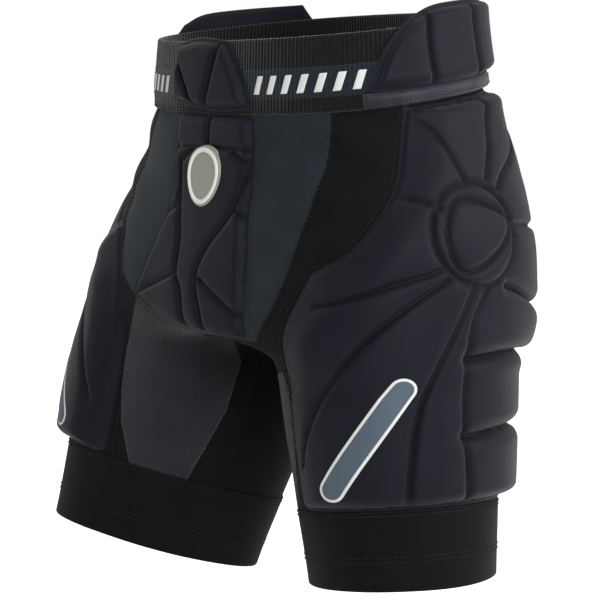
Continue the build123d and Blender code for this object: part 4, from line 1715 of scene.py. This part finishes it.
def mesh_panel(side: Side) -> None:
    """The vent of open mesh on the inner front of a leg.

    Args:
        side: which of the wearer's sides.
    """
    shape = FORM.leg(side)
    top = 0.20 if side is Side.RIGHT else 0.34
    corners = [(top, 118), (max(top, 0.27), 102), (0.43, 99), (0.55, 102), (0.65, 106), (0.74, 114),
               (0.83, 122), (0.88, 132), (0.87, 146), (0.68, 154), (0.53, 160),
               (max(top, 0.37), 160), (top + 0.10, 150), (top + 0.04, 135)]
    edge = FORM.on_leg(side, cornered_line(corners, 6))
    away = edge - shape.hip
    chart = np.stack([np.degrees(np.arctan2(away @ shape.forward, away @ shape.out)),
                      away @ shape.down], -1)
    lay = Lay.out(shape.rays, (chart[:, 0].min() - 3, chart[:, 0].max() + 3),
                  (chart[:, 1].min() - 4, chart[:, 1].max() + 4), 1.9)
    within = inside(lay.u, lay.v, chart)
    rim = nearness(lay.base, [np.concatenate([edge, edge[:1]])])
    gap = np.where(within, rim, -rim)
    piece = lay.raise_piece(f"{side.word}_mesh_vent", np.clip(gap * 1.2 + 0.5, -3, 0.8))
    finish_piece(piece, MESH_KNIT, "mesh_knit", f"{side.word}_mesh_panel")


# ---- the studio --------------------------------------------------------------------------
@dataclass
class Studio:
    """A white studio with broad soft lights, and the camera."""

    target: tuple[float, float, float] = (-0.006, -0.007, -0.232)
    azimuth: float = 51
    elevation: float = 9
    distance: float = 1.25
    focal: float = 89.29
    ambient: float = 0.34
    backdrop: float = 1.0

    def build(self) -> None:
        """Makes the floor, the lights, the world and the camera."""
        bpy.ops.object.select_all(action="DESELECT")
        bpy.ops.mesh.primitive_plane_add(size=80, location=(0, 0, -0.56))
        floor = bpy.context.object
        floor.name = "studio_floor"
        graph = Graph("matt_studio_paper")
        seen = graph.add("LightPath").outputs["Is Camera Ray"]
        graph.fill(graph.shader, {"Base Color": linear("#fbfbfb"), "Roughness": 0.9,
                                  "Emission Color": linear("#ffffff"),
                                  "Emission Strength": graph.maths("MULTIPLY", seen, 0.7)})
        floor.data.materials.append(graph.material)
        bpy.context.scene.view_settings.view_transform = "Standard"
        world = bpy.data.worlds.new("studio_white")
        world.use_nodes = True
        tree = world.node_tree
        tree.nodes["Background"].inputs["Color"].default_value = (1, 1, 1, 1)
        path = tree.nodes.new("ShaderNodeLightPath")
        mix = tree.nodes.new("ShaderNodeMapRange")
        mix.inputs[3].default_value = self.ambient
        mix.inputs[4].default_value = self.backdrop
        tree.links.new(path.outputs["Is Camera Ray"], mix.inputs[0])
        tree.links.new(mix.outputs[0], tree.nodes["Background"].inputs["Strength"])
        bpy.context.scene.world = world
        self.light("key", (2.1, -0.9, 1.0), 34, 1.0)
        self.light("side", (1.6, 1.1, 0.7), 20, 0.8)
        self.light("fill", (-1.5, -1.2, 0.9), 4, 0.8)
        self.light("top", (0.1, 0.2, 1.9), 12, 1.4)
        self.camera()

    def light(self, name: str, place: tuple[float, float, float], power: float,
              size: float) -> None:
        """One square area light aimed at the garment.

        Args:
            name: the piece's name.
            place: where it stands, metres.
            power: watts.
            size: size, mm or m.
        """
        data = bpy.data.lights.new(name, "AREA")
        data.energy = power
        data.size = size
        lamp = bpy.data.objects.new(name, data)
        lamp.location = place
        aim = Vector(self.target) - Vector(place)
        lamp.rotation_euler = aim.to_track_quat("-Z", "Y").to_euler()
        bpy.context.scene.collection.objects.link(lamp)

    def camera(self) -> None:
        """The view of the product shot."""
        turn, rise = math.radians(self.azimuth), math.radians(self.elevation)
        back = Vector((math.sin(turn) * math.cos(rise), -math.cos(turn) * math.cos(rise),
                       math.sin(rise)))
        data = bpy.data.cameras.new("camera")
        data.lens = self.focal
        data.sensor_width = 36
        shot = bpy.data.objects.new("camera", data)
        shot.location = Vector(self.target) + back * self.distance
        shot.rotation_euler = back.to_track_quat("Z", "Y").to_euler()
        bpy.context.scene.collection.objects.link(shot)
        bpy.context.scene.camera = shot


def main() -> None:
    """Builds the garment from the skin outwards, then the studio."""
    logging.basicConfig(level=logging.INFO, format="%(message)s")
    KnitShell().build()
    FlatPanel("left_slate_knit", FORM.front(slate_edge(LEFT_SLATE, 6)), SLATE_KNIT,
              "slate_knit", ("left_slate_panel",), (0.075, 0.19)).build()
    FlatPanel("right_slate_knit", FORM.front(slate_edge(RIGHT_SLATE, 5)), SLATE_KNIT,
              "slate_knit", ("right_slate_panel",), (0.085, 0.18)).build()
    for side in Side:
        mesh_panel(side)
    groin, seat = groin_pad(), seat_pad()
    sides = {side: side_pad(side) for side in Side}
    for pad in (groin, seat, *sides.values()):
        pad.build()
    front_flap().build()
    for side in Side:
        hip_flap(side).build()
    Waist().build()
    Marks(groin, sides).build()
    stitch_all(groin, sides, seat)
    Studio().build()


if __name__ == "__main__":
    main()
